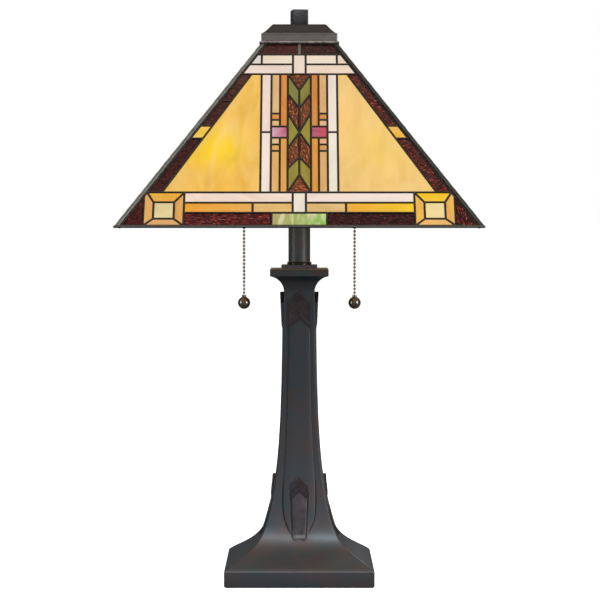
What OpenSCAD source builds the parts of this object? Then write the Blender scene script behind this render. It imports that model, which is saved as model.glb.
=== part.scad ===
// Table lamp: a square leaded-glass shade over a cast column that flares into a square plinth.
// Millimetres, +Z up. The origin is the centre of the underside and the front looks along -Y.

/* [Plinth and ballast] */
// Side of the square plinth
plinth_w = 164.5; // [140:0.5:200]
// Height of the plinth's upper edge above the table
plinth_h = 18; // [16:0.5:24]
// Thickness of the felt under the plinth
felt_t = 1; // [0.5:0.5:3]
// How far the felt stays inside the plinth's edge
felt_inset = 1.5; // [0.5:0.5:8]
// Thickness of the plinth's upright walls
plinth_wall = 5.5; // [4:0.5:8]
// Thickness of the casting's sloping and column walls
cast_wall = 3.5; // [2.5:0.5:4.5]
// Thickness of the casting over the ledge that the ballast bears on
ledge_t = 3; // [3:0.5:6]
// Width of the ledge that the ballast bears on
ledge_w = 14; // [8:1:20]
// Thickness of the steel ballast plate
ballast_t = 6; // [3:0.5:7]

/* [Column] */
// Height of the column from the plinth to its neck
column_h = 303; // [240:1:370]
// Side of the column at its neck
neck_w = 33.6; // [30:0.2:42]
// How far the long sweep of the flare stands out at the plinth
sweep_out = 39.4; // [28:0.2:48]
// Height over which the long sweep falls to about a third
sweep_fall = 64; // [50:1:80]
// Height over which the toe falls to about a third
toe_fall = 17.8; // [13:0.2:23]
// How round the toe leaves the plinth's edge: 1 is a sharp hollow, 2 a full bell
toe_power = 1.6; // [1:0.05:2]
// How far the long centre panels stand off the column
panel_rise = 1.6; // [0.8:0.2:3]
// Width of a centre panel at the neck
panel_top_w = 23; // [16:0.5:28]
// Width of a centre panel at its broad lower end
panel_low_w = 35; // [26:0.5:42]

/* [Column ornament] */
// Width of the chevrons under the neck
top_chevron_w = 24; // [16:0.5:28]
// Height of each chevron band under the neck
top_chevron_h = 11.5; // [8:0.5:16]
// How far the chevrons' arms drop below their peaks
chevron_drop = 12; // [6:0.5:18]
// How far the uppermost chevron stands off the column
chevron_rise = 3.6; // [2:0.2:6]
// Height of the lower ornament's peak above the table
feather_peak_z = 116.7; // [106:0.1:130]
// Width of the lower ornament's shaft
feather_w = 19; // [12:0.5:24]
// Height of each chevron band of the lower ornament
feather_band_h = 8.2; // [5:0.2:12]
// Height of the lower ornament from its tip to its peak
feather_h = 71; // [56:0.5:80]
// How far the shaft of the lower ornament stands off the flare
feather_rise = 3.4; // [2:0.2:5]

/* [Capital and tube] */
// Height of the hollow curve under the capital plate
cove_h = 17.6; // [12:0.2:24]
// Side of the capital plate
capital_w = 65; // [50:0.5:80]
// Thickness of the capital plate
capital_t = 8.7; // [5:0.1:14]
// Side of the small plate on the capital
small_plate_w = 40.2; // [32:0.2:50]
// Thickness of the small plate
small_plate_t = 4; // [2.5:0.5:8]
// Outer diameter of the riser tube
tube_d = 24.4; // [20:0.2:30]
// Wall of the riser tube
tube_wall = 1.2; // [0.8:0.1:2]
// Length of the riser tube
tube_l = 45.7; // [30:0.1:70]
// Wall of the collar round the tube's foot
collar_wall = 1.5; // [1:0.1:4]
// Height of the collar round the tube's foot
collar_h = 3.4; // [2:0.2:8]

/* [Threaded pipe and fasteners] */
// Outer diameter of the threaded pipe
pipe_d = 10; // [8:0.1:12.4]
// Bore of the threaded pipe
pipe_bore = 6.6; // [4:0.1:7]
// Diameter of the clamp washer under the ballast
washer_d = 28; // [20:1:40]
// Thickness of the washers
washer_t = 1.5; // [1:0.1:2.5]
// Width of the hexagon nuts across flats
nut_af = 17; // [15:0.5:22]
// Thickness of the hexagon nuts
nut_t = 4.4; // [3:0.1:4.8]
// Diameter of the seat washer under the shade's cap
seat_d = 34; // [24:1:50]

/* [Cord bushing] */
// Bore of the bushing that the cord leaves through
bushing_bore = 5.6; // [4:0.1:7]
// Body diameter of the bushing
bushing_d = 8; // [6.5:0.1:10]
// Flange diameter of the bushing
bushing_flange_d = 10.5; // [8.5:0.1:12]
// Thickness of the bushing's flange
bushing_flange_t = 1.5; // [1:0.1:3]
// Height of the bushing's centre above the table
bushing_z = 8.2; // [7:0.1:9]

/* [Light cluster] */
// Diameter of the ball-shaped cluster body
cluster_d = 34; // [30:0.5:44]
// Height of the cluster body's centre above its flat underside
cluster_half_h = 12; // [10:0.5:15]
// Angle of each socket from the upright
socket_tilt = 45; // [38:1:50]
// Distance from the cluster's centre to a socket cap
socket_out = 18; // [18:0.5:30]
// Outer diameter of a socket shell
socket_d = 30.8; // [29:0.2:36]
// Length of a socket cap
socket_cap_l = 22; // [18:0.5:28]
// Length of a socket shell
socket_shell_l = 44; // [38:0.5:52]
// Thickness of the drawn brass of caps and shells
brass_t = 0.7; // [0.5:0.1:1]
// Length of the insulating body with the switch
core_l = 24; // [20:0.5:28]
// Distance from a socket cap's foot to its pull guide
guide_out = 30; // [26:0.5:32]

/* [Bulbs] */
// Diameter of the bulb's globe
bulb_d = 45; // [38:0.5:54]
// Overall length of the bulb
bulb_l = 78; // [68:0.5:90]
// Diameter of the bulb's screw base
screw_d = 26; // [22:0.1:26.4]
// Length of the bulb's screw base
screw_l = 22; // [18:0.5:26]
// Wall of the bulb's glass
bulb_wall = 0.8; // [0.5:0.1:1.5]

/* [Pull chains] */
// Distance of each chain from the lamp's axis
chain_x = 62; // [55:0.5:75]
// Diameter of a bead
bead_d = 3.2; // [2.4:0.1:4]
// Distance from bead to bead
bead_pitch = 4.04; // [3.4:0.01:5]
// Number of beads on each chain
beads = 24; // [16:1:30]
// Diameter of the wire between beads
bead_wire_d = 0.9; // [0.6:0.1:1.4]
// Diameter of the ball at the end of the chain
ball_d = 14; // [10:0.5:20]
// Length of the upright guide tube round the chain
guide_l = 17; // [14:0.5:24]
// Outer diameter of the guide tube
guide_d = 8; // [7:0.1:10]
// Bore of the guide tube
guide_bore = 5; // [4.4:0.1:6]
// Diameter of the ball where the guide turns down
elbow_d = 9.6; // [8.4:0.1:12]

/* [Shade] */
// Side of the shade at its lower rim
rim_w = 385; // [320:1:470]
// Side of the shade's glass at the top
shade_top_w = 84; // [70:0.2:101]
// Upright height of the leaded faces
shade_h = 202; // [165:1:245]
// Depth of the lead cames through the face
came_t = 4.5; // [4:0.1:6]
// Width of a lead line
came_w = 2; // [1.4:0.1:3]
// Thickness of the glass
glass_t = 3; // [2:0.1:3.5]
// Width of a corner came on each face
hip_w = 5.5; // [5:0.1:9]
// Width of the rail along the rim
rim_rail_w = 3.5; // [2.5:0.1:6]
// Thickness of the square ring on top of the faces
top_ring_t = 2.8; // [2:0.1:5]
// Side of that ring
top_ring_w = 87.9; // [84.4:0.1:106]
// Width of the ring's band of metal
top_ring_band = 12; // [8:0.5:15]

/* [Glass pattern] */
// Height of the dark row along the rim
ruby_row_h = 16.7; // [12:0.1:24]
// Height of the gold row above it
gold_row_h = 13.1; // [9:0.1:18]
// Height of the white row under the field
white_row_h = 13.5; // [9:0.1:18]
// Height of each cream row over the field
cream_row_h = 14; // [10:0.1:18]
// Height of the dark row at the top
top_row_h = 15.3; // [11:0.1:20]
// Half width of the streaky green pane at the rim
leaf_half = 28.9; // [22:0.1:36]
// Half width of the centre blocks
block_half = 6.9; // [5:0.1:9]
// How far a corner frame reaches in under the corner came
frame_under = 3; // [1:0.1:4]
// Width of a corner frame
frame_w = 42; // [34:0.5:48]
// Width of the pane within a corner frame
frame_pane_w = 21.4; // [14:0.2:24]
// Height of the pane within a corner frame
frame_pane_h = 21.4; // [14:0.2:24]
// Height of that pane's centre above the dark row's foot
frame_pane_up = 19.7; // [17:0.1:24]
// Distance from the middle to the end of the short tan panes
tan_row_end = 48.6; // [36:0.2:60]
// Distance from the middle to the joint in the upper cream row
cream_joint = 41; // [30:0.5:46]
// Half width of the feather panel
feather_half = 12.4; // [9:0.1:15]
// Width of the orange strips
orange_w = 8.3; // [6:0.1:11]
// Width of the tan strips
tan_w = 9.4; // [6:0.1:12]
// Width of the white strips
white_w = 10.8; // [7:0.1:13]
// Height of the rose bars
rose_h = 15.3; // [10:0.1:20]
// Height of the small tan squares
tan_square_h = 9.2; // [6:0.1:12]
// Height of the small orange squares
orange_square_h = 8.7; // [6:0.1:12]
// Width of the dark band beside the corner at the field's foot
band_low_w = 15.5; // [11:0.1:20]
// Width of the dark band beside the corner at the field's top
band_top_w = 10.5; // [7:0.1:13]
// Height of the amber insert in the dark band
insert_h = 17.3; // [10:0.1:24]
// Width of the bar that splits the top row
top_bar_w = 4.6; // [2:0.1:6]

/* [Shade cap and finial] */
// Height of the cap's seat above the cluster's centre
seat_rise = 206.3; // [172:0.1:250]
// Side of the cap's upright band
cap_w = 83.8; // [70:0.2:100]
// Height of the cap's upright band
cap_band_h = 8.8; // [6:0.1:14]
// Whole height of the cap
cap_h = 19.7; // [16:0.1:26]
// Side of the cap's flat top
cap_top_w = 59; // [45:0.5:66]
// Thickness of the cap's sheet metal
cap_wall = 2; // [1:0.1:3]
// Side of the finial block
finial_w = 17.5; // [15.5:0.5:26]
// Height of the finial block
finial_h = 18.5; // [15:0.5:26]
// How far the finial has been screwed past the square of the cap
finial_angle = 10; // [0:1:45]
// Chamfer along the finial's edges
finial_chamfer = 0.8; // [0.3:0.1:2]

/* [Clearances] */
// Gap between parts of one fit, on each side
fit_gap = 0.05; // [0:0.01:0.2]
// Gap round the pipe where it passes through a plate
pass_gap = 0.3; // [0.1:0.05:0.6]
// Gap round the bulb's base within its screw shell
screw_gap = 0.3; // [0.1:0.05:0.5]
// Gap between a pane and its came on each side
pane_gap = 0.1; // [0:0.05:0.3]

/* [Hidden] */
$fn = 64;
flare_steps = 30;
cove_steps = 10;
far = 400;
quarter_turns = [0:3];

// Heights of the stack, from the table up
neck_z = plinth_h + column_h;
capital_z = neck_z + cove_h;
small_plate_z = capital_z + capital_t;
tube_z = small_plate_z + small_plate_t;
cluster_z = tube_z + tube_l + cluster_half_h;
seat_z = cluster_z + seat_rise;
cap_top_z = seat_z + cap_wall;
cap_z = cap_top_z - cap_h;
shade_top_z = cap_z - top_ring_t;
rim_z = shade_top_z - shade_h;
ledge_z = plinth_h - ledge_t;
ballast_z = ledge_z - ballast_t;
nut_z = ballast_z - washer_t - nut_t;
pipe_pass_d = pipe_d + 2 * pass_gap;
pipe_fit_d = pipe_d + 2 * fit_gap;

// The column's half width at height z: the neck, a long sweep and a rounded toe
toe_out = plinth_w / 2 - neck_w / 2 - sweep_out;
function flare(z) = neck_w / 2 + sweep_out * exp(-(z - plinth_h) / sweep_fall)
                    + toe_out * exp(-pow(max(z - plinth_h, 0) / toe_fall, toe_power));
recess_half = plinth_w / 2 - plinth_wall;
function hollow(z) = min(recess_half - ledge_w, flare(z + cast_wall) - cast_wall);
// Heights crowd together low on the flare, where it curves most
function crowded(from, to) = [for (i = [0:flare_steps]) from + (to - from) * pow(i / flare_steps, 2)];
neck_wall = 6;

// A solid of square plan whose half widths and heights are the given points, lowest first
module square_plan(points) {
    outline = concat(points, [for (i = [len(points) - 1:-1:0]) [-points[i][0], points[i][1]]]);
    intersection() {
        rotate([90, 0, 0]) linear_extrude(height = far, center = true) polygon(outline);
        rotate([90, 0, 90]) linear_extrude(height = far, center = true) polygon(outline);
    }
}
module plate(w, t) translate([-w / 2, -w / 2, 0]) cube([w, w, t]);
module ring(d, bore, h) difference() {
    cylinder(d = d, h = h);
    translate([0, 0, -1]) cylinder(d = bore, h = h + 2);
}
module hex_nut(bore) difference() {
    cylinder(d = nut_af / cos(30), h = nut_t, $fn = 6);
    translate([0, 0, -1]) cylinder(d = bore, h = nut_t + 2);
}

// ---- Base ----
module felt_pad() color("darkolivegreen") plate(plinth_w - 2 * felt_inset, felt_t);

// The part of the column that stands out by rise, from heights low to high
module column_skin(rise, low, high)
    square_plan([for (z = crowded(low, high)) [flare(z) + rise, z]]);
// One raised figure on all four faces: an outline of widths and heights pressed onto the flare
module on_faces(rise, low, high, points) for (k = quarter_turns) rotate(90 * k) intersection() {
    column_skin(rise, low, high);
    rotate([90, 0, 0]) linear_extrude(height = far) polygon(points);
}
function chevron(w, peak, h, drop) = [[0, peak - h], [w / 2, peak - h - drop], [w / 2, peak - drop],
                                      [0, peak], [-w / 2, peak - drop], [-w / 2, peak - h - drop]];
feather_drop = chevron_drop * 0.85;
feather_tip_z = feather_peak_z - feather_h;
feather_tip_w = feather_w * 0.74;
feather_shaft_z = feather_peak_z - 2 * feather_band_h;
panel_broad_z = feather_peak_z - feather_h / 2;
panel_foot_w = panel_low_w * 0.88;
panel_foot_z = feather_tip_z + feather_h * 0.27;
panel_shoulder_z = feather_peak_z - feather_h / 6;
panel_tip_z = feather_tip_z + 4;
// Half the outline of a centre panel, from its pointed foot up its right side
panel_side = [[feather_tip_w / 2, panel_tip_z], [panel_foot_w / 2, panel_foot_z],
              [panel_low_w / 2, panel_broad_z], [panel_low_w / 2, panel_shoulder_z],
              [panel_top_w / 2, neck_z]];
function mirrored(side) = concat(side, [for (i = [len(side) - 1:-1:0]) [-side[i][0], side[i][1]]]);
// Each chevron of a stack stands off a little less than the one above it
top_chevron_step = 0.55;
feather_step = 0.3;
feather_edge = 0.6;
module base_casting() color("dimgray") difference() {
    union() {
        square_plan(concat([[plinth_w / 2, ledge_z]],
                           [for (z = crowded(plinth_h, neck_z)) [flare(z), z]]));
        on_faces(panel_rise, feather_tip_z, neck_z - top_chevron_h,
                 mirrored(panel_side));
        for (i = [0:2])
            on_faces(chevron_rise - top_chevron_step * i, neck_z - 3 * top_chevron_h - chevron_drop, neck_z,
                     chevron(top_chevron_w, neck_z - i * top_chevron_h, top_chevron_h, chevron_drop));
        for (i = [0:1])
            on_faces(feather_rise + feather_edge - feather_step * i, feather_tip_z, feather_peak_z,
                     chevron(feather_w, feather_peak_z - i * feather_band_h, feather_band_h,
                             feather_drop));
        on_faces(feather_rise - feather_edge, feather_tip_z, feather_peak_z,
                 mirrored([[feather_tip_w / 2, feather_tip_z],
                           [feather_w / 2, feather_shaft_z - feather_drop], [0.01, feather_shaft_z]]));
    }
    square_plan([for (z = crowded(ledge_z - 1, neck_z - neck_wall)) [hollow(z), z]]);
    cylinder(d = pipe_pass_d, h = neck_z + 1);
}
// The plinth's upright walls, one square frame brazed under the casting
module plinth_frame() color("dimgray") difference() {
    translate([0, 0, felt_t]) plate(plinth_w, ledge_z - felt_t);
    plate(2 * recess_half, ledge_z + 1);
    translate([0, plinth_w / 2 - plinth_wall - 1, bushing_z]) rotate([-90, 0, 0])
        cylinder(d = bushing_d + 2 * fit_gap, h = plinth_wall + 2);
}

ballast_side_gap = 1;
cord_notch_w = 16;
cord_notch_l = 14;
module ballast_plate() color("slategray") translate([0, 0, ballast_z]) difference() {
    plate(2 * (recess_half - ballast_side_gap), ballast_t);
    translate([0, 0, -1]) cylinder(d = pipe_pass_d, h = ballast_t + 2);
    translate([-cord_notch_w / 2, recess_half - cord_notch_l, -1])
        cube([cord_notch_w, cord_notch_l, ballast_t + 2]);
}
module clamp_washer() color("silver") translate([0, 0, ballast_z - washer_t])
    ring(washer_d, pipe_pass_d, washer_t);
module clamp_nut() color("goldenrod") translate([0, 0, nut_z]) hex_nut(pipe_fit_d);
module cord_bushing() color("black") translate([0, plinth_w / 2, bushing_z]) rotate([90, 0, 0])
    difference() {
        union() {
            translate([0, 0, -bushing_flange_t]) cylinder(d = bushing_flange_d, h = bushing_flange_t);
            cylinder(d = bushing_d, h = plinth_wall);
        }
        translate([0, 0, -bushing_flange_t - 1])
            cylinder(d = bushing_bore, h = plinth_wall + bushing_flange_t + 2);
    }

// ---- Capital and tube ----
// The cove leaves the neck upright and sweeps out under the plate through most of a quarter turn
cove_turn = 75;
cove_lip = 1.3;
cove_out = capital_w / 2 - flare(neck_z) - cove_lip;
function cove_point(a) = [flare(neck_z) + cove_out * (1 - cos(a)) / (1 - cos(cove_turn)),
                          neck_z + cove_h * sin(a) / sin(cove_turn)];
module capital() color("dimgray") difference() {
    square_plan(concat([for (i = [0:cove_steps]) cove_point(cove_turn * i / cove_steps)],
                       [[capital_w / 2, capital_z], [capital_w / 2, small_plate_z]]));
    translate([0, 0, neck_z - 1]) cylinder(d = pipe_pass_d, h = cove_h + capital_t + 2);
}
module small_plate() color("gray") translate([0, 0, small_plate_z]) difference() {
    plate(small_plate_w, small_plate_t);
    translate([0, 0, -1]) cylinder(d = pipe_pass_d, h = small_plate_t + 2);
}
collar_chamfer = collar_h * 0.3;
module tube_collar() color("dimgray") translate([0, 0, tube_z]) rotate_extrude()
    polygon([[tube_d / 2 + fit_gap, 0], [tube_d / 2 + collar_wall, 0],
             [tube_d / 2 + collar_wall, collar_h - collar_chamfer],
             [tube_d / 2 + collar_wall - collar_chamfer, collar_h], [tube_d / 2 + fit_gap, collar_h]]);
module riser_tube() color("gray") translate([0, 0, tube_z])
    ring(tube_d, tube_d - 2 * tube_wall, tube_l);

// ---- Threaded pipe ----
pipe_grip = 8;
pipe_below_nut = 0.1;
finial_grip = 0.6;
lower_pipe_z = nut_z - pipe_below_nut;
lower_pipe_top = cluster_z - cluster_half_h + pipe_grip;
upper_pipe_z = cluster_z + cluster_half_h - pipe_grip;
upper_pipe_top = cap_top_z + finial_h * finial_grip;
module lower_pipe() color("goldenrod") translate([0, 0, lower_pipe_z])
    ring(pipe_d, pipe_bore, lower_pipe_top - lower_pipe_z);
module upper_pipe() color("goldenrod") translate([0, 0, upper_pipe_z])
    ring(pipe_d, pipe_bore, upper_pipe_top - upper_pipe_z);

// ---- Cluster and sockets ----
// Children are drawn along a socket's axis, from the cluster's centre out; side is -1 or 1
module on_arm(side) translate([0, 0, cluster_z]) rotate([0, side * socket_tilt, 0]) children();
cap_start = socket_out;
cap_grip = 8;
cap_hub_l = 4;
cap_floor = 1;
shell_start = cap_start + socket_cap_l - cap_grip;
core_end = shell_start + core_l;
shell_end = shell_start + socket_shell_l;
// The nipples start just clear of the upper pipe and end inside the caps
nipple_start = pipe_d / 2 * (1 + cos(socket_tilt)) / sin(socket_tilt) + 2 * pass_gap;
nipple_grip = 6;
nipple_l = cap_start + nipple_grip - nipple_start;
cap_skirt_r = socket_d / 2 + fit_gap + brass_t;
module cluster_body() color("goldenrod") difference() {
    intersection() {
        translate([0, 0, cluster_z]) sphere(d = cluster_d);
        translate([0, 0, cluster_z - cluster_half_h]) cylinder(d = cluster_d, h = 2 * cluster_half_h);
    }
    translate([0, 0, cluster_z - cluster_d]) cylinder(d = pipe_bore, h = 2 * cluster_d);
    translate([0, 0, cluster_z - cluster_d]) cylinder(d = pipe_fit_d, h = cluster_d
                                                      - cluster_half_h + pipe_grip);
    translate([0, 0, upper_pipe_z]) cylinder(d = pipe_fit_d, h = cluster_d);
    for (side = [-1, 1]) on_arm(side) translate([0, 0, nipple_start])
        cylinder(d = pipe_fit_d, h = cluster_d);
}
module arm_nipple(side) color("goldenrod") on_arm(side) translate([0, 0, nipple_start])
    ring(pipe_d, pipe_bore, nipple_l);
hub_wall = 2.5;
hub_r = pipe_d / 2 + hub_wall;
module socket_cap(side) color("gold") on_arm(side) rotate_extrude()
    polygon([[pipe_fit_d / 2, cap_start], [hub_r, cap_start], [hub_r, cap_start + cap_hub_l],
             [cap_skirt_r, cap_start + socket_cap_l / 2], [cap_skirt_r, cap_start + socket_cap_l],
             [cap_skirt_r - brass_t, cap_start + socket_cap_l],
             [cap_skirt_r - brass_t, cap_start + socket_cap_l / 2 + cap_floor / 2],
             [hub_r - brass_t, cap_start + cap_hub_l + cap_floor],
             [pipe_fit_d / 2, cap_start + cap_hub_l + cap_floor]]);
module socket_shell(side) color("gold") on_arm(side) difference() {
    translate([0, 0, shell_start]) ring(socket_d, socket_d - 2 * brass_t, socket_shell_l);
    guide_window(side);
}
core_r = socket_d / 2 - brass_t - fit_gap;
module socket_core(side) color("ivory") on_arm(side)
    translate([0, 0, shell_start]) cylinder(r = core_r, h = core_l);
screw_r = screw_d / 2 + screw_gap;
screw_shell_t = 0.4;
screw_shell_short = 2;
module screw_shell(side) color("gold") on_arm(side) translate([0, 0, core_end])
    ring(2 * (screw_r + screw_shell_t), 2 * screw_r, screw_l - screw_shell_short);

// ---- Pull guides and chains ----
// The guide leaves the socket square to its axis, then turns straight down at chain_x
guide_s = cap_start + guide_out;
guide_reach = (chain_x - guide_s * sin(socket_tilt)) / cos(socket_tilt);
guide_z = cluster_z + guide_s * cos(socket_tilt) - guide_reach * sin(socket_tilt);
guide_lip = 1;
chain_headroom = 0.5;
module guide_window(side) translate([0, 0, guide_s]) rotate([0, side * 90, 0])
    cylinder(d = guide_d + 2 * pass_gap, h = socket_d);
module pull_guide(side) color("goldenrod") difference() {
    union() {
        on_arm(side) translate([0, 0, guide_s]) rotate([0, side * 90, 0])
            translate([0, 0, core_r]) cylinder(d = guide_d, h = guide_reach - core_r);
        translate([side * chain_x, 0, guide_z]) sphere(d = elbow_d);
        translate([side * chain_x, 0, guide_z - guide_l]) cylinder(d = guide_d, h = guide_l);
        translate([side * chain_x, 0, guide_z - guide_l])
            cylinder(d = guide_d + 2 * guide_lip, h = 2 * guide_lip);
    }
    translate([side * chain_x, 0, guide_z - guide_l - 1])
        cylinder(d = guide_bore, h = guide_l + 1 + chain_headroom);
}
chain_top_z = guide_z - chain_headroom;
chain_l = beads * bead_pitch;
chain_end_z = chain_top_z - chain_l;
module pull_chain(side) color("dimgray") translate([side * chain_x, 0, 0]) rotate_extrude()
    intersection() {
        union() {
            for (i = [0:beads - 1])
                translate([0, chain_top_z - bead_d / 2 - i * bead_pitch]) circle(d = bead_d);
            translate([0, chain_end_z]) square([bead_wire_d / 2, chain_l - bead_d / 2]);
        }
        translate([0, chain_end_z]) square([bead_d, chain_l]);
    }
crimp_h = 2;
crimp_wall = 0.9;
crimp_d = bead_d + 2 * crimp_wall;
ball_z = chain_end_z - crimp_h - ball_d / 2;
module pull_ball(side) color("dimgray") translate([side * chain_x, 0, 0]) union() {
    translate([0, 0, ball_z]) sphere(d = ball_d);
    translate([0, 0, ball_z]) cylinder(d = crimp_d, h = chain_end_z - ball_z);
}

// ---- Bulbs ----
bulb_contact_gap = 0.5;
bulb_s = core_end + bulb_contact_gap;
globe_s = bulb_s + bulb_l - bulb_d / 2;
base_wall = 1;
contact_r = 4;
contact_t = 2;
base_floor_s = bulb_s + contact_r + base_wall;
bulb_neck_r = screw_d / 2 - base_wall;
base_end = bulb_s + screw_l;
bulb_shoulder = 30;
module bulb_base(side) color("silver") on_arm(side) rotate_extrude()
    polygon([[0, bulb_s], [contact_r, bulb_s], [screw_d / 2, bulb_s + contact_r],
             [screw_d / 2, base_end], [bulb_neck_r, base_end], [bulb_neck_r, base_floor_s],
             [contact_r - base_wall, bulb_s + contact_t], [0, bulb_s + contact_t]]);
module globe_outline(shrink) {
    translate([0, globe_s]) circle(d = bulb_d - 2 * shrink);
    neck_s = base_floor_s + base_wall + shrink;
    neck_r = bulb_neck_r - fit_gap - shrink;
    polygon([[0, neck_s], [neck_r, neck_s], [neck_r, base_end],
             [bulb_d / 2 * cos(bulb_shoulder) - shrink, globe_s - bulb_d / 2 * sin(bulb_shoulder)],
             [0, globe_s]]);
}
module bulb_globe(side) color("white") on_arm(side) rotate_extrude() intersection() {
    difference() {
        globe_outline(0);
        globe_outline(bulb_wall);
    }
    translate([0, bulb_s]) square([bulb_d, bulb_l + 1]);
}

// ---- Shade ----
slope = atan2(shade_h, (rim_w - shade_top_w) / 2);
slant = norm([shade_h, (rim_w - shade_top_w) / 2]);
function edge(v) = rim_w / 2 - v * cos(slope);
function hip_line(v) = edge(v) - hip_w;
// Places a flat face, drawn as widths and slant heights, with its depth going inwards
module on_face(k) rotate(90 * k) translate([0, -rim_w / 2, rim_z]) rotate([slope, 0, 0]) children();
module through_face(t, depth) translate([0, 0, -depth - t]) linear_extrude(height = t) children();
// Only what lies between the rim and the top, where both are cut level
module level_ends() intersection() {
    children();
    translate([-rim_w, -rim_w, rim_z]) cube([2 * rim_w, 2 * rim_w, shade_h]);
}
module wedge(k) rotate(90 * k) translate([0, 0, rim_z - 1]) linear_extrude(height = shade_h + 2)
    polygon([[0, 0], [-rim_w, -rim_w], [rim_w, -rim_w]]);

// Slant heights of the rows, from the rim rail up
row_ruby = rim_rail_w;
row_gold = row_ruby + ruby_row_h;
row_white = row_gold + gold_row_h;
row_field = row_white + white_row_h;
row_top = slant - top_row_h;
row_cream_2 = row_top - cream_row_h;
row_cream_1 = row_cream_2 - cream_row_h;
field_mid = (row_field + row_cream_1) / 2;
field_half = (row_cream_1 - row_field) / 2;
// Widths of the upright strips, from the middle out
col_orange = feather_half;
col_tan = col_orange + orange_w;
col_white = col_tan + tan_w;
col_amber = col_white + white_w;
// The feather's lines as shares of half the field: [height at the panel's edge, height at the middle]
feather_below = [[-0.275, 0], [-0.61, -0.42], [-1, -0.71]];
feather_above = [[0.325, 0], [0.66, 0.41], [1, 0.715]];
frame_out = hip_line(row_field) + frame_under;
// Where the corner came starts to cut off the frame's upper corner
frame_cut = row_field - frame_under / cos(slope);
frame_in = frame_out - frame_w;
frame_mid = (frame_in + frame_out) / 2;
pane_v = row_ruby + frame_pane_up;
// The inner edge of the dark band beside the corner
function band_in(v) = hip_line(v) - band_low_w
                      + (band_low_w - band_top_w) * (v - row_field) / (row_cream_1 - row_field);
square_1 = rose_h / 2 + tan_square_h;
square_2 = square_1 + orange_square_h;
band_joint_share = 0.53;

function box(u0, u1, v0, v1) = [[u0, v0], [u1, v0], [u1, v1], [u0, v1]];
function flip(p) = [for (i = [len(p) - 1:-1:0]) [-p[i][0], p[i][1]]];
function band(v0, v1) = [[band_in(v0), v0], [hip_line(v0), v0], [hip_line(v1), v1], [band_in(v1), v1]];
function mark(share) = field_mid + share * field_half;
// Half of a slanting band of the feather between two of its lines, right of the middle
function barb(a, b) = [[0, mark(a[1])], [feather_half, mark(a[0])], [feather_half, mark(b[0])], [0, mark(b[1])]];

// Cells of the right half, each with its glass
right_cells = [
    ["ruby", box(leaf_half, frame_in, row_ruby, row_gold)],
    ["tan", box(block_half, tan_row_end, row_gold, row_white)],
    ["gold", box(tan_row_end, frame_in, row_gold, row_white)],
    ["white", box(block_half, frame_in, row_white, row_field)],
    ["amber", box(frame_mid - frame_pane_w / 2, frame_mid + frame_pane_w / 2,
                  pane_v - frame_pane_h / 2, pane_v + frame_pane_h / 2)],
    ["gold", [[frame_in, row_ruby], [frame_out, row_ruby],
              [frame_mid + frame_pane_w / 2, pane_v - frame_pane_h / 2],
              [frame_mid - frame_pane_w / 2, pane_v - frame_pane_h / 2]]],
    ["gold", [[frame_out, row_ruby], [frame_out, frame_cut], [hip_line(row_field), row_field],
              [frame_mid + frame_pane_w / 2, pane_v + frame_pane_h / 2],
              [frame_mid + frame_pane_w / 2, pane_v - frame_pane_h / 2]]],
    ["gold", [[hip_line(row_field), row_field], [frame_in, row_field],
              [frame_mid - frame_pane_w / 2, pane_v + frame_pane_h / 2],
              [frame_mid + frame_pane_w / 2, pane_v + frame_pane_h / 2]]],
    ["gold", [[frame_in, row_field], [frame_in, row_ruby],
              [frame_mid - frame_pane_w / 2, pane_v - frame_pane_h / 2],
              [frame_mid - frame_pane_w / 2, pane_v + frame_pane_h / 2]]],
    ["ruby", [[frame_out, row_ruby], [hip_line(row_ruby), row_ruby], [frame_out, frame_cut]]],
    ["orange", box(col_orange, col_tan, row_field, field_mid - rose_h / 2)],
    ["rose", box(col_orange, col_white, field_mid - rose_h / 2, field_mid + rose_h / 2)],
    ["orange", box(col_orange, col_tan, field_mid + rose_h / 2, row_cream_1)],
    ["tan", box(col_tan, col_white, row_field, field_mid - square_2)],
    ["orange", box(col_tan, col_white, field_mid - square_2, field_mid - square_1)],
    ["tan", box(col_tan, col_white, field_mid - square_1, field_mid - rose_h / 2)],
    ["tan", box(col_tan, col_white, field_mid + rose_h / 2, field_mid + square_1)],
    ["orange", box(col_tan, col_white, field_mid + square_1, field_mid + square_2)],
    ["tan", box(col_tan, col_white, field_mid + square_2, row_cream_1)],
    ["white", box(col_white, col_amber, row_field, field_mid)],
    ["white", box(col_white, col_amber, field_mid, row_cream_1)],
    ["amber", [[col_amber, row_field], [band_in(row_field), row_field],
               [band_in(row_cream_1), row_cream_1], [col_amber, row_cream_1]]],
    ["ruby", band(row_field, field_mid - insert_h / 2)],
    ["amber", band(field_mid - insert_h / 2, field_mid + insert_h / 2)],
    ["cream", [[block_half, row_cream_1], [hip_line(row_cream_1), row_cream_1],
               [hip_line(row_cream_2), row_cream_2], [block_half, row_cream_2]]],
    ["cream", box(block_half, cream_joint, row_cream_2, row_top)],
    ["cream", [[cream_joint, row_cream_2], [hip_line(row_cream_2), row_cream_2],
               [hip_line(row_top), row_top], [cream_joint, row_top]]],
    ["ruby", [[(top_bar_w - came_w) / 2, row_top], [hip_line(row_top), row_top],
              [hip_line(slant), slant], [(top_bar_w - came_w) / 2, slant]]],
    ["brown", barb(feather_below[1], feather_below[0])],
    ["green", barb(feather_below[2], feather_below[1])],
    ["green", [[0, field_mid], [feather_half, mark(feather_below[0][0])],
               [feather_half, mark(feather_above[0][0])]]],
    ["brown", barb(feather_above[0], feather_above[1])],
    ["green", barb(feather_above[1], feather_above[2])]
];
upper_band_right = [["ruby", band(field_mid + insert_h / 2, row_cream_1)]];
upper_band_left = [["ruby", flip(band(field_mid + insert_h / 2, mark(band_joint_share)))],
                   ["ruby", flip(band(mark(band_joint_share), row_cream_1))]];
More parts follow.
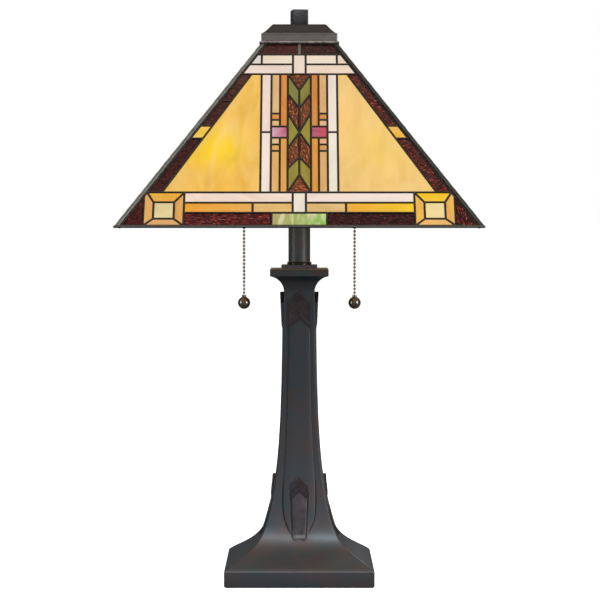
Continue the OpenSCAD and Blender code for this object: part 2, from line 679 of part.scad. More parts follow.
middle_cells = [
    ["leaf", box(-leaf_half, leaf_half, row_ruby, row_gold)],
    ["white", box(-block_half, block_half, row_gold, row_field)],
    ["cream", box(-block_half, block_half, row_cream_1, row_top)],
    ["brown", [[-feather_half, row_field], [feather_half, row_field], [0, mark(feather_below[2][1])]]],
    ["brown", [[feather_half, row_cream_1], [-feather_half, row_cream_1],
               [0, mark(feather_above[2][1])]]]
];
cells = concat(middle_cells, right_cells, [for (c = right_cells) [c[0], flip(c[1])]],
               upper_band_right, upper_band_left);

// A convex outline, given anticlockwise, with every side moved in by d
function unit(a) = a / norm(a);
function left_of(a) = [-a[1], a[0]];
function inset(p, d) = [for (i = [0:len(p) - 1])
    let (n = len(p), before = left_of(unit(p[i] - p[(i + n - 1) % n])),
         after = left_of(unit(p[(i + 1) % n] - p[i])))
    p[i] + d * (before + after) / (1 + before * after)];

module came_face(k) color("darkslategray") level_ends() on_face(k) through_face(came_t, 0)
    difference() {
        polygon([[-hip_line(rim_rail_w), rim_rail_w], [hip_line(rim_rail_w), rim_rail_w],
                 [hip_line(slant + came_t), slant + came_t],
                 [-hip_line(slant + came_t), slant + came_t]]);
        for (c = cells) polygon(inset(c[1], came_w / 2));
    }
module panes(glass) for (k = quarter_turns) on_face(k)
    through_face(glass_t, (came_t - glass_t) / 2)
        for (c = cells) if (c[0] == glass) polygon(inset(c[1], came_w / 2 + pane_gap));
module corner_strip(side) {
    low = rim_rail_w;
    high = slant + came_t;
    polygon([[side * hip_line(low), low], [side * edge(low), low],
             [side * edge(high), high], [side * hip_line(high), high]]);
}
module corner_came(k) color("darkslategray") level_ends() {
    intersection() {
        on_face(k) through_face(came_t, 0) corner_strip(1);
        wedge(k);
    }
    intersection() {
        on_face(k + 1) through_face(came_t, 0) corner_strip(-1);
        wedge(k + 1);
    }
}
module rim_rail() color("darkslategray") level_ends() for (k = quarter_turns) intersection() {
    on_face(k) through_face(came_t, 0)
        polygon([[-edge(-came_t), -came_t], [edge(-came_t), -came_t],
                 [edge(rim_rail_w), rim_rail_w], [-edge(rim_rail_w), rim_rail_w]]);
    wedge(k);
}
module top_ring() color("silver") translate([0, 0, shade_top_z]) difference() {
    plate(top_ring_w, top_ring_t);
    translate([0, 0, -1]) plate(top_ring_w - 2 * top_ring_band, top_ring_t + 2);
}

// ---- Cap, seat and finial ----
// The cap's upper sides run in from the band to the flat top with a slight hollow
cap_step = 1.2;
cap_sag = 0.8;
cap_shelf = 0.8;
cap_steps = 6;
function cap_side(t, inward) =
    [cap_w / 2 - cap_shelf - inward - (cap_w / 2 - cap_shelf - cap_top_w / 2 - cap_step) * t,
     cap_z + cap_band_h + (cap_h - cap_band_h - cap_step) * t - cap_sag * 4 * t * (1 - t)];
module shade_cap() color("dimgray") difference() {
    square_plan(concat([[cap_w / 2, cap_z], [cap_w / 2, cap_z + cap_band_h]],
                       [for (i = [0:cap_steps]) cap_side(i / cap_steps, 0)],
                       [[cap_top_w / 2, cap_top_z]]));
    square_plan(concat([[cap_w / 2 - cap_wall, cap_z - 1],
                        [cap_w / 2 - cap_wall, cap_z + cap_band_h - cap_wall]],
                       [for (i = [0:cap_steps / 3]) cap_side(i / cap_steps, cap_wall) - [0, cap_wall / 2]],
                       [[cap_top_w / 2 - cap_wall, seat_z]]));
    translate([0, 0, cap_z]) cylinder(d = pipe_pass_d, h = cap_h + 1);
}
module seat_washer() color("silver") translate([0, 0, seat_z - washer_t])
    ring(seat_d, pipe_fit_d, washer_t);
module seat_nut() color("goldenrod") translate([0, 0, seat_z - washer_t - nut_t]) hex_nut(pipe_fit_d);
module chamfered_square(w, c) polygon([[-w / 2 + c, -w / 2], [w / 2 - c, -w / 2],
    [w / 2, -w / 2 + c], [w / 2, w / 2 - c], [w / 2 - c, w / 2], [-w / 2 + c, w / 2],
    [-w / 2, w / 2 - c], [-w / 2, -w / 2 + c]]);
module finial() color("dimgray") translate([0, 0, cap_top_z]) rotate(finial_angle) difference() {
    intersection() {
        linear_extrude(height = finial_h) chamfered_square(finial_w, finial_chamfer);
        square_plan([[finial_w / 2, 0], [finial_w / 2, finial_h - finial_chamfer],
                     [finial_w / 2 - finial_chamfer, finial_h]]);
    }
    translate([0, 0, -1]) cylinder(d = pipe_fit_d, h = finial_h * (finial_grip + 0.1) + 1);
}

felt_pad();
plinth_frame();
base_casting();
ballast_plate();
clamp_washer();
clamp_nut();
cord_bushing();
capital();
small_plate();
tube_collar();
riser_tube();
lower_pipe();
upper_pipe();
cluster_body();
arm_nipple(-1);  // arm_nipple_left
arm_nipple(1);  // arm_nipple_right
socket_cap(-1);  // socket_cap_left
socket_cap(1);  // socket_cap_right
socket_shell(-1);  // socket_shell_left
socket_shell(1);  // socket_shell_right
socket_core(-1);  // socket_core_left
socket_core(1);  // socket_core_right
screw_shell(-1);  // screw_shell_left
screw_shell(1);  // screw_shell_right
pull_guide(-1);  // pull_guide_left
pull_guide(1);  // pull_guide_right
pull_chain(-1);  // pull_chain_left
pull_chain(1);  // pull_chain_right
pull_ball(-1);  // pull_ball_left
pull_ball(1);  // pull_ball_right
bulb_base(-1);  // bulb_base_left
bulb_base(1);  // bulb_base_right
bulb_globe(-1);  // bulb_globe_left
bulb_globe(1);  // bulb_globe_right
seat_nut();
seat_washer();
came_face(0);  // came_front
came_face(1);  // came_right
came_face(2);  // came_back
came_face(3);  // came_left
corner_came(0);  // corner_came_1
corner_came(1);  // corner_came_2
corner_came(2);  // corner_came_3
corner_came(3);  // corner_came_4
rim_rail();
top_ring();
shade_cap();
finial();
color("orange") panes("amber");  // amber_panes
color("gold") panes("gold");  // gold_panes
color("linen") panes("white");  // white_panes
color("bisque") panes("cream");  // cream_panes
color("burlywood") panes("tan");  // tan_panes
color("peru") panes("orange");  // orange_panes
color("crimson") panes("rose");  // rose_panes
color("olive") panes("green");  // green_panes
color("sienna") panes("brown");  // brown_panes
color("maroon") panes("ruby");  // ruby_panes
color("yellowgreen") panes("leaf");  // leaf_panes
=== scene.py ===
"""A table lamp with a square leaded-glass shade on a cast column that flares into a square plinth.

Every size is in millimetres until a mesh is made. The front looks along -Y and +Z is up.
"""

import math

import bmesh
import bpy
import numpy as np
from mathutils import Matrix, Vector


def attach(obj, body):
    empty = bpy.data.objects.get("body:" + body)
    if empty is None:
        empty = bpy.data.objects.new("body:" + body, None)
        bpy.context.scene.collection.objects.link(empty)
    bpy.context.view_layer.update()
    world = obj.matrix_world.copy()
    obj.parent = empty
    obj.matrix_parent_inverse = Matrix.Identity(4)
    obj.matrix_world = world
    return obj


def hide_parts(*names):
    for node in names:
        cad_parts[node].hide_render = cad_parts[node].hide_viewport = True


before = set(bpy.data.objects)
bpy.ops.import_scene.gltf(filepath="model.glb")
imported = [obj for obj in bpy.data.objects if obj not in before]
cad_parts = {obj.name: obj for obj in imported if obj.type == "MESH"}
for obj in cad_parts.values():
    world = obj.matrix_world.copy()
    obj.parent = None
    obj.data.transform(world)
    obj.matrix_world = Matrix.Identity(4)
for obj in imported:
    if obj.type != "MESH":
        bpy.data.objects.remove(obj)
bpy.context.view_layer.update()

MM = 0.001
scene = bpy.context.scene
random = np.random.default_rng(11)

# ---- Sizes of the lamp, in millimetres, as the cast and drawn parts have them ----
PLINTH_HALF, PLINTH_H, FELT_T = 82.25, 18.0, 1.0
NECK_HALF, NECK_Z = 16.8, 321.0
TOE_OUT, TOE_FALL, TOE_POWER, SWEEP_OUT, SWEEP_FALL = 26.05, 17.8, 1.6, 39.4, 64.0
PANEL_RISE = 1.6
CHEVRON_HALF, CHEVRON_H, CHEVRON_DROP = 12.0, 11.5, 12.0
FEATHER_PEAK, FEATHER_HALF, FEATHER_DROP = 116.7, 9.8, 9.6
CAPITAL_Z, CAPITAL_HALF, SMALL_PLATE_Z, SMALL_PLATE_HALF, TUBE_Z = 338.6, 32.5, 347.3, 20.1, 351.3
TUBE_R, TUBE_WALL, TUBE_L, COLLAR_H, COLLAR_WALL = 12.2, 1.2, 45.7, 3.4, 1.5
RIM_HALF, RIM_Z, SHADE_TOP_HALF, SHADE_TOP_Z = 192.5, 392.8, 42.0, 594.8
CAME_T, CAME_W, GLASS_IN, GLASS_T, HIP_W, RAIL_W = 4.5, 2.0, 0.75, 3.0, 5.5, 3.5
CAP_Z, CAP_TOP_Z, FINIAL_H, FINIAL_TURN = 597.6, 617.3, 18.5, 10.0
CHAIN_X, BEAD_D, BEAD_PITCH, BEADS, CHAIN_TOP_Z = 62.0, 3.2, 4.04, 24, 414.43
CHAIN_END_Z = CHAIN_TOP_Z - BEADS * BEAD_PITCH
BALL_D, BALL_Z = 14.0, CHAIN_END_Z - 9.0

# ---- Camera: level with the tube and far back with a long lens, in metres and degrees ----
CAMERA_BACK, CAMERA_Z, CAMERA_DIP, CAMERA_YAW = 2.431, 0.3991, 2.05, -0.018
camera_data = bpy.data.cameras.new("camera")
camera_data.lens, camera_data.sensor_width = 130.0, 36.0
camera_data.clip_start, camera_data.clip_end = 0.1, 100.0
camera = bpy.data.objects.new("camera", camera_data)
scene.collection.objects.link(camera)
camera.location = (0, -CAMERA_BACK, CAMERA_Z)
camera.rotation_euler = (math.radians(90 - CAMERA_DIP), 0, math.radians(CAMERA_YAW))
scene.camera = camera


# ---- Meshes ----
def spin(points, k):
    """Points turned by k quarter turns about the upright axis: (x, y) goes to (-y, x) at each turn."""
    x, y, z = points[..., 0], points[..., 1], points[..., 2]
    for _ in range(k % 4):
        x, y = -y, x
    return np.stack([x, y, z], -1)


def quads(rows, cols, wrap_rows, wrap_cols):
    """The four-sided faces of a grid: point (i, j) joined to (i, j+1), (i+1, j+1) and (i+1, j)."""
    i = np.arange(rows if wrap_rows else rows - 1)[:, None]
    j = np.arange(cols if wrap_cols else cols - 1)[None, :]
    i2, j2 = (i + 1) % rows, (j + 1) % cols
    corners = np.broadcast_arrays(i * cols + j, i * cols + j2, i2 * cols + j2, i2 * cols + j)
    return np.stack(corners, -1).reshape(-1, 4)


def piece(name, grids, material, body, hides=(), sharp=32, fields=()):
    """One mesh from grids of points: each grid is (points, is it closed along its rows, are its two ends filled).
    Every grid is closed across its columns. Edges bent by more than sharp degrees stay crisp."""
    verts, faces, start = [], [], 0
    for points, wrap_rows, ends in grids:
        rows, cols = points.shape[:2]
        verts.append(points.reshape(-1, 3))
        faces += (quads(rows, cols, wrap_rows, True) + start).tolist()
        if ends:
            faces.append(list(range(start + cols - 1, start - 1, -1)))
            faces.append(list(range(start + (rows - 1) * cols, start + rows * cols)))
        start += rows * cols
    mesh = bpy.data.meshes.new(name)
    mesh.from_pydata((np.concatenate(verts) * MM).tolist(), [], faces)
    for field, values in fields:
        kind, key = ("FLOAT_COLOR", "color") if values.shape[1] == 4 else ("FLOAT_VECTOR", "vector")
        mesh.attributes.new(field, kind, "POINT").data.foreach_set(key, values.astype(np.float32).ravel())
    solid = bmesh.new()
    solid.from_mesh(mesh)
    bmesh.ops.recalc_face_normals(solid, faces=solid.faces)
    solid.to_mesh(mesh)
    solid.free()
    mesh.shade_smooth()
    mesh.set_sharp_from_angle(angle=math.radians(sharp))
    mesh.materials.append(material)
    made = bpy.data.objects.new(name, mesh)
    scene.collection.objects.link(made)
    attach(made, body)
    if hides:
        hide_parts(*hides)
    return made


def square_turned(profile, arc=4, ease=1.6):
    """A solid of square plan. Each row of profile is (half width, height, corner radius). A row is a square whose
    corners are quarter circles, with a point a little way along each side to keep the corner's shading to itself."""
    half, z, r = (column[:, None] for column in np.asarray(profile, float).T)
    a = np.linspace(0, math.pi / 2, arc + 1)[None, :]
    x = np.concatenate([half, half - r + r * np.cos(a), half - r - ease], 1)
    y = np.concatenate([half - r - ease, half - r + r * np.sin(a), half], 1)
    corner = np.stack([x, y, np.broadcast_to(z, x.shape)], -1)
    return np.concatenate([spin(corner, k) for k in range(4)], 1)


def turned(profile, steps=48, centre=(0, 0, 0), tilt=0.0):
    """A round solid. Each row of profile is (radius, distance along the axis), and tilt leans the axis from upright
    towards +X, in degrees."""
    r, s = (column[:, None] for column in np.asarray(profile, float).T)
    a = np.linspace(0, 2 * math.pi, steps, endpoint=False)[None, :]
    x, y, z = r * np.cos(a), r * np.sin(a), s + 0 * a
    c, n = math.cos(math.radians(tilt)), math.sin(math.radians(tilt))
    return np.stack([x * c + z * n, y, z * c - x * n], -1) + np.asarray(centre, float)


def flare(z):
    """Half width of the column at height z above the plinth's edge: the neck, plus a long sweep that falls off as an
    exponential of height, plus a rounded toe that falls off as an exponential of height raised to a power."""
    up = np.maximum(np.asarray(z, float) - PLINTH_H, 0)
    return NECK_HALF + SWEEP_OUT * np.exp(-up / SWEEP_FALL) + TOE_OUT * np.exp(-((up / TOE_FALL) ** TOE_POWER))


# ---- Materials ----
def colour(text):
    """An sRGB hex colour as linear light: each part is divided by 12.92 below 0.04, and above it is
    ((part + 0.055) / 1.055) to the power 2.4."""
    parts = [int(text[i : i + 2], 16) / 255 for i in (1, 3, 5)]
    return tuple(c / 12.92 if c <= 0.04045 else ((c + 0.055) / 1.055) ** 2.4 for c in parts) + (1.0,)


def per_mm(size):
    """The scale of a pattern whose cells are size millimetres, on coordinates in metres."""
    return 1000.0 / size


def add(tree, kind, inputs=(), stops=(), **settings):
    """Adds a node, gives its inputs a value or a link from another node's output, and returns its outputs."""
    made = tree.nodes.new("ShaderNode" + kind)
    for name, value in settings.items():
        setattr(made, name, value)
    for key, value in dict(inputs).items():
        if isinstance(value, bpy.types.NodeSocket):
            tree.links.new(value, made.inputs[key])
        else:
            made.inputs[key].default_value = value
    if stops:
        elements = made.color_ramp.elements
        while len(elements) < len(stops):
            elements.new(0.5)
        for element, (place, shade) in zip(elements, stops):
            element.position, element.color = place, colour(shade)
    return made.outputs


def new_material(name):
    """An empty material and its node tree."""
    material = bpy.data.materials.new(name)
    material.use_nodes = True
    material.node_tree.nodes.clear()
    return material, material.node_tree


def finish(tree, inputs):
    """Ends a material with its surface."""
    add(tree, "OutputMaterial", {"Surface": add(tree, "BsdfPrincipled", inputs)[0]})


def metal(name, low, high, patch, roughness, grain=0.6, bump=0.15, metallic=0.85, brushed=None, spread=0.12,
          coat=0.0, highlight_bands=(), highlight_tone="#8a8084"):
    """A metal finish: two shades mixed in soft patches, roughness that wanders, and a fine bumpy grain. brushed gives
    the drawn-out direction as three scales. The level bands it is given are painted highlight, each a height and a
    half width in millimetres: there the finish is painted lighter, towards the highlight tone, fully at the band's
    height and not at all past its half width."""
    material, tree = new_material(name)
    place = add(tree, "TexCoord")["Object"]
    patches = add(tree, "TexNoise", {"Vector": place, "Scale": per_mm(patch), "Detail": 4.0, "Roughness": 0.6})[0]
    ramp = add(tree, "ValToRGB", {"Fac": patches}, stops=[(0.35, low), (0.65, high)])[0]
    wander = add(tree, "MapRange", {"Value": patches, "From Min": 0.3, "From Max": 0.7, "To Min": roughness - spread,
                                    "To Max": roughness + spread})[0]
    level = add(tree, "SeparateXYZ", {0: place})[2] if highlight_bands else None
    # Each band is a painted highlight: the finish is mixed towards the highlight tone near the band's height
    for height, half in highlight_bands:
        off = add(tree, "Math", {0: level, 1: height * MM}, operation="SUBTRACT")[0]
        away = add(tree, "Math", {0: off}, operation="ABSOLUTE")[0]
        lit_share = add(tree, "MapRange", {"Value": away, "From Min": half * 0.4 * MM, "From Max": half * MM,
                                      "To Min": 0.8, "To Max": 0.0})[0]
        ramp = add(tree, "Mix", {"Factor": lit_share, 6: ramp, 7: colour(highlight_tone)}, data_type="RGBA")[2]
    if brushed:
        place = add(tree, "Mapping", {"Vector": place, "Scale": brushed})[0]
    fine = add(tree, "TexNoise", {"Vector": place, "Scale": per_mm(grain), "Detail": 3.0})[0]
    normal = add(tree, "Bump", {"Height": fine, "Strength": bump, "Distance": 0.0003})[0]
    finish(tree, {"Base Color": ramp, "Metallic": metallic, "Roughness": wander, "Normal": normal, "Coat Weight": coat,
                  "Coat Roughness": 0.12})
    return material


# Satin dark bronze finish over a zinc casting: blue-black with red-brown patches, and painted highlight in level bands
# along the plinth's top edge and the capital's top edge
cast_bronze = metal("cast_dark_bronze", "#3d484e", "#4b4445", 30, 0.44, metallic=0.6, coat=0.05, spread=0.06,
                    highlight_bands=[(PLINTH_H - 0.2, 0.7), (SMALL_PLATE_Z - 0.3, 0.8)])
# Raised figures of the casting, where polishing has warmed the finish
ornament_finish = metal("cast_bronze_rubbed_figures", "#413d40", "#4e484b", 12, 0.36, metallic=0.7, coat=0.2)
# Near-black painted shadow in the grooves beside the raised figures
groove_shadow_paint = metal("painted_groove_shadow", "#0c0d0e", "#141415", 8, 0.6, metallic=0.3)
# The same finish on the tube, painted greyer and lighter than the casting as a painted sheen, with soft bands of light
dark_tube_finish = metal("dark_bronze_painted_sheen", "#4e5a5e", "#5c5d63", 18, 0.55, coat=0.1, spread=0.04)
# Near-black patina on a turned collar
collar_finish = metal("black_bronze_collar", "#1b1c1e", "#262628", 10, 0.3, coat=0.3)
# Satin plate: a lighter copy of the dark bronze, its lightness a painted highlight
plate_finish = metal("bronze_plate_painted_light", "#5b5658", "#6a6264", 14, 0.33)
# Pressed cap, brushed up and down: brown-black, a painted dark reflection on its sloping top, with its upright band
# painted grey as painted light
cap_finish = metal("brushed_grey_bronze", "#191513", "#231e1b", 14, 0.42, grain=1.1, bump=0.3, brushed=(1, 1, 0.05),
                   highlight_bands=[(CAP_Z + 3.4, 7.0)], highlight_tone="#77726d")
# Dark bronze on the square knob
finial_finish = metal("dark_bronze_knob", "#333438", "#3e3e44", 12, 0.38)
# Solder run by hand, washed with a black-brown patina: dull with small shiny ripples
solder = metal("patinated_solder", "#120e0b", "#241c16", 5, 0.45, grain=2.2, bump=0.4, metallic=0.7)
# Tinned brass strip on the left hips and the top bars, painted mid grey as the lit copy of the strip: painted light
strip_painted_lit = metal("tinned_strip_painted_lit", "#3f3f3b", "#51504b", 12, 0.42, grain=2.0, bump=0.2, metallic=0.85)
# The same strip along the rim, painted a darker grey than the lit copy on the left hips
rim_solder = metal("rim_tinned_strip", "#302e2c", "#403d3a", 12, 0.42, grain=2.0, bump=0.2, metallic=0.85)
# The same strip on the right hips, painted near black as the shaded copy: painted shade
strip_painted_shaded = metal("tinned_strip_painted_shaded", "#1e1d1b", "#2a2926", 12, 0.42, grain=2.0, bump=0.2, metallic=0.85)
# Hand-run solder on the ring under the cap, hammered and bright
ring_solder = metal("hammered_solder", "#55514c", "#7d7872", 6, 0.4, grain=2.2, bump=0.5, metallic=0.9)
# Rolled steel plate: dull mid grey
steel = metal("rolled_steel", "#7a7c7e", "#8c8d8e", 20, 0.4)
# Zinc plate on steel: pale and slightly yellow
zinc_steel = metal("zinc_plated_steel", "#a3a49c", "#b9b8ad", 6, 0.3)
# Turned brass: bright yellow
brass = metal("turned_brass", "#b58a3c", "#c79b4a", 8, 0.28)
# Brass with an antique finish on the sockets and their cluster: brown and soft
socket_brass = metal("antique_brass", "#5b4a2c", "#77623a", 9, 0.32)
# Rolled aluminium of a bulb's screw: bright and fine-grained
aluminium = metal("rolled_aluminium_thread", "#b8b9bb", "#c9cacb", 5, 0.28)
# Nickel plate on the beads, a little dulled
nickel = metal("dark_nickel", "#a19b93", "#b8b2a9", 4, 0.27, bump=0.04, metallic=0.85, spread=0.04)
# Black nickel on the balls: darker and mirror-like, with small sharp highlights
ball_finish = metal("black_nickel", "#6f655d", "#857a70", 6, 0.2, bump=0.03, metallic=0.9, spread=0.04)


def moulded(name, low, high, patch, roughness, bump, grain):
    """A dull moulded or woven material: two shades in patches with a bumpy grain."""
    material, tree = new_material(name)
    place = add(tree, "TexCoord")["Object"]
    patches = add(tree, "TexNoise", {"Vector": place, "Scale": per_mm(patch), "Detail": 3.0})[0]
    ramp = add(tree, "ValToRGB", {"Fac": patches}, stops=[(0.35, low), (0.65, high)])[0]
    fine = add(tree, "TexNoise", {"Vector": place, "Scale": per_mm(grain), "Detail": 4.0})[0]
    normal = add(tree, "Bump", {"Height": fine, "Strength": bump, "Distance": 0.0004})[0]
    finish(tree, {"Base Color": ramp, "Roughness": roughness, "Normal": normal})
    return material


# Green-black wool felt: matt and hairy
felt = moulded("wool_felt", "#2a3427", "#39452f", 5, 0.95, 0.8, 0.5)
# Black phenolic of the socket cores: moulded, with a soft gloss
phenolic = moulded("moulded_phenolic", "#14110f", "#1e1a17", 8, 0.35, 0.1, 0.8)
# Black rubber: dull
rubber = moulded("black_rubber", "#0d0d0d", "#171717", 6, 0.6, 0.2, 0.6)

# Frosted bulb, lit: warm white, a little brighter in the middle of the globe
bulb_glass, tree = new_material("frosted_bulb_glass")
edge = add(tree, "LayerWeight", {"Blend": 0.4})["Facing"]
warm = add(tree, "ValToRGB", {"Fac": edge}, stops=[(0.0, "#fff3d6"), (1.0, "#f7d59a")])[0]
finish(tree, {"Base Color": warm, "Roughness": 0.35, "Emission Color": warm, "Emission Strength": 1.6})


def sheet_glass(name, wisp, wisp_share, streak, ripple, lit=None, grain=14.0, dark=0.9, light=1.08, glow=0.76,
                dim_glint=None, bright_glint=None):
    """Opalescent sheet glass. The pane's own tint is made lighter and darker along the rolled grain, wisps of a second
    colour run through it, and a hand-rolled surface ripples. Its flecks and sparks are painted glints, where the
    ripple would catch a bulb, as strongly as the tint's alpha says. The glass glows with its colour: this glow is
    painted light that stands for the bulbs' light through it. Near a bulb it turns towards the lit colour, a painted
    pool of light that falls off smoothly with the distance from where each bulb stands behind the face."""
    material, tree = new_material(name)
    place = add(tree, "Attribute", attribute_name="sheet")["Vector"]
    pane = add(tree, "Attribute", attribute_name="tint")
    mixed = pane["Color"]
    if lit:
        gap = add(tree, "SeparateXYZ", {0: add(tree, "Attribute", attribute_name="from_bulbs")["Vector"]})
        for across, strength, reach in ((gap[0], 0.95, 0.052), (gap[1], 0.3, 0.07)):
            here = add(tree, "CombineXYZ", {0: across, 1: gap[2]})[0]
            far = add(tree, "VectorMath", {0: here}, operation="LENGTH")["Value"]
            near = add(tree, "MapRange", {"Value": far, "From Min": 0.0, "From Max": reach, "To Min": strength,
                                          "To Max": 0.0}, interpolation_type="SMOOTHSTEP")[0]
            mixed = add(tree, "Mix", {"Factor": near, 6: mixed, 7: colour(lit)}, data_type="RGBA")[2]
    wavy = add(tree, "TexNoise", {"Vector": place, "Scale": per_mm(grain), "Detail": 4.0, "Roughness": 0.55,
                                  "Distortion": 0.6})[0]
    level = add(tree, "MapRange", {"Value": wavy, "From Min": 0.3, "From Max": 0.7, "To Min": dark,
                                   "To Max": light})[0]
    shaded = add(tree, "VectorMath", {0: mixed, "Scale": level}, operation="SCALE")[0]
    wisps = add(tree, "TexNoise", {"Vector": place, "Scale": per_mm(grain * 1.7), "Detail": 5.0, "Roughness": 0.6,
                                   "Distortion": 1.2})[0]
    share = add(tree, "MapRange", {"Value": wisps, "From Min": 0.5 - streak, "From Max": 0.5 + streak, "To Min": 0.0,
                                   "To Max": wisp_share})[0]
    mixed = add(tree, "Mix", {"Factor": share, 6: shaded, 7: colour(wisp)}, data_type="RGBA")[2]
    # The dim and bright glints are painted highlights, where the ripple would catch a bulb
    for tone, size, start in ((dim_glint, 1.7, 0.52), (bright_glint, 1.3, 0.63)):
        if tone:
            spots = add(tree, "TexNoise", {"Vector": place, "Scale": per_mm(size), "Detail": 2.0})[0]
            drift = add(tree, "Math", {0: wisps, 1: 0.22}, operation="MULTIPLY")[0]
            here = add(tree, "Math", {0: spots, 1: drift}, operation="ADD")[0]
            seen = add(tree, "MapRange", {"Value": here, "From Min": start + 0.11, "From Max": start + 0.24,
                                          "To Min": 0.0, "To Max": pane["Alpha"]})[0]
            mixed = add(tree, "Mix", {"Factor": seen, 6: mixed, 7: colour(tone)}, data_type="RGBA")[2]
    # The glow through the glass is painted light: the pane's colour given out as emission
    through = add(tree, "VectorMath", {0: mixed, "Scale": glow}, operation="SCALE")[0]
    faced = add(tree, "VectorMath", {0: mixed, "Scale": 0.12}, operation="SCALE")[0]
    rolled = add(tree, "TexNoise", {"Vector": place, "Scale": per_mm(ripple), "Detail": 2.0})[0]
    normal = add(tree, "Bump", {"Height": rolled, "Strength": 0.35, "Distance": 0.0008})[0]
    finish(tree, {"Base Color": faced, "Roughness": 0.22, "IOR": 1.52, "Specular IOR Level": 0.06, "Normal": normal,
                  "Emission Color": through, "Emission Strength": 1.0})
    return material


GLASS = {
    # Honey glass with soft pale and yellow streaks
    "amber": sheet_glass("amber_opalescent", "#fbdc92", 0.42, 0.12, 9, lit="#ffd512", grain=17),
    # Deep yellow and orange glass for the corner frames and the row over the rim
    "gold": sheet_glass("gold_opalescent", "#fbd45a", 0.3, 0.1, 8, lit="#fdc828"),
    # Milky white with a breath of pink
    "white": sheet_glass("ivory_opalescent", "#faf0e4", 0.5, 0.12, 10, lit="#fff2e4"),
    # Milky beige
    "cream": sheet_glass("cream_opalescent", "#f4e6d8", 0.5, 0.12, 10),
    # Tan with a lighter grain
    "tan": sheet_glass("tan_opalescent", "#f1cf95", 0.35, 0.1, 8),
    # Burnt orange
    "orange": sheet_glass("orange_opalescent", "#eeb45c", 0.3, 0.1, 8),
    # Rose and crimson swirl
    "rose": sheet_glass("rose_opalescent", "#e9c2cb", 0.14, 0.08, 6, grain=9),
    # Moss green, lightly hammered
    "green": sheet_glass("moss_green_hammered", "#c0b84a", 0.3, 0.1, 4, dark=0.8, light=1.1, glow=0.6),
    # Red-brown rippled glass, with painted orange glints
    "brown": sheet_glass("brown_rippled_cathedral", "#3c1408", 0.6, 0.08, 3, grain=6, dark=0.7, light=1.2,
                         dim_glint="#b85f2c", bright_glint="#f0a468"),
    # Ruby rippled glass, nearly black, with painted red glints
    "ruby": sheet_glass("ruby_rippled_cathedral", "#140506", 0.75, 0.1, 3, grain=8, dark=0.7, light=1.3,
                        dim_glint="#8e2c22", bright_glint="#e88a80"),
    # Streaks of tan, cream and grass green
    "leaf": sheet_glass("streaky_green_sheet", "#e2dcae", 0.85, 0.07, 8, grain=9),
}

# ---- Base casting ----
up = np.linspace(0, 1, 70) ** 2
heights = PLINTH_H + 0.25 + (NECK_Z - PLINTH_H - 0.25) * up
outer = [(80.7, FELT_T, 1.2), (PLINTH_HALF - 0.5, FELT_T, 0.9), (PLINTH_HALF, FELT_T + 0.5, 0.9),
         (PLINTH_HALF, PLINTH_H - 0.9, 0.9), (PLINTH_HALF - 0.15, PLINTH_H - 0.3, 0.9),
         (PLINTH_HALF - 0.55, PLINTH_H, 0.9)]
outer += list(zip(flare(heights), heights, np.full(len(heights), 1.0)))[1:]
body_grid = square_turned(outer)


def strip_on_flare(z, half, rise, k):
    """A raised strip on one side of the column, carried up along heights z with half widths half: its edges are
    rounded over 0.9 mm and it is closed 1 mm under the surface."""
    z, half = np.asarray(z, float)[:, None], np.asarray(half, float)[:, None]
    rise = np.broadcast_to(np.asarray(rise, float).reshape(-1, 1), z.shape)
    side = -half + np.array([0.0, 0.0, 0.3, 0.9])[None, :]
    high = rise + np.array([0.0, -0.75, -0.22, 0.0])[None, :]
    high[:, 0] = -1.0
    x = np.concatenate([side, -half * 0.35, half * 0.35, -side[:, ::-1]], 1)
    h = np.concatenate([high, rise, rise, high[:, ::-1]], 1)
    return spin(np.stack([x, -(flare(z) + h), np.broadcast_to(z, x.shape)], -1), k)


def chevron_on_flare(peak, half, height, drop, high, low, k):
    """One pointed band: its cross-section is a wedge, high along its upper edge and low along its lower edge,
    carried along both arms, which drop and lean back in step with their distance from the ridge in the middle."""
    across = np.array([-1.0, -0.97, -0.5, 0.0, 0.5, 0.97, 1.0])[:, None]
    share = np.array([0.0, 0.0, 1.1 / height, 1 - 0.3 / height, 1.0, 1.0])[None, :]
    rise = np.array([-1.0, high - 0.6, high, low, low - 0.35, -1.0])[None, :]
    z = peak - np.abs(across) * drop - share * height
    x = np.broadcast_to(across * half, z.shape)
    fall = np.where(np.abs(across) > 0.99, 1.3, 0.8 * np.abs(across))
    h = np.where(rise < 0, -1.0, rise - fall)
    return spin(np.stack([x, -(flare(z) + h), z], -1), k)


def line_on_flare(centre, side, half, k, lift=0.0):
    """A thin line that lies along the column: centre gives how far out it runs at each height, and half is its half
    width there. It stands 0.12 mm proud of the surface, which is the column's own face raised by lift."""
    out, z = centre[:, :1], centre[:, 1:]
    x = side * (out + np.array([-1.0, -1.0, 1.0, 1.0]) * half[:, None])
    h = lift + np.array([-0.5, 0.12, 0.12, -0.5])[None, :] + 0 * x
    return spin(np.stack([x, -(flare(z) + h), np.broadcast_to(z, x.shape)], -1), k)


# Raised panel and feather shaft on each side: heights, half widths there and how far each stands out
PANEL_Z = np.array([49, 51, 53, 55.5, 58, 61, 64, 67.5, 71, 75, 79, 86, 93, 100, 106, 113, 121, 131, 151, 181, 221,
                    261, 309])
PANEL_HALF = np.array([6.6, 7.7, 8.9, 10.3, 11.6, 13.0, 14.3, 15.5, 16.4, 17.1, 17.5, 17.8, 17.9, 17.8, 17.6, 17.2,
                       16.6, 15.8, 14.8, 13.6, 12.6, 11.9, 11.5])
SHAFT_Z = np.array([45.0, 46.5, 48, 52, 61, 71, 81, 89, 94, 98.0])
SHAFT_HALF = np.interp(SHAFT_Z, [45, 100], [6.6, 9.1])
SHAFT_RISE = [-0.3, 0.2, 0.6, 1.4, 2.4, 2.8, 2.7, 2.4, 2.0, 1.7]
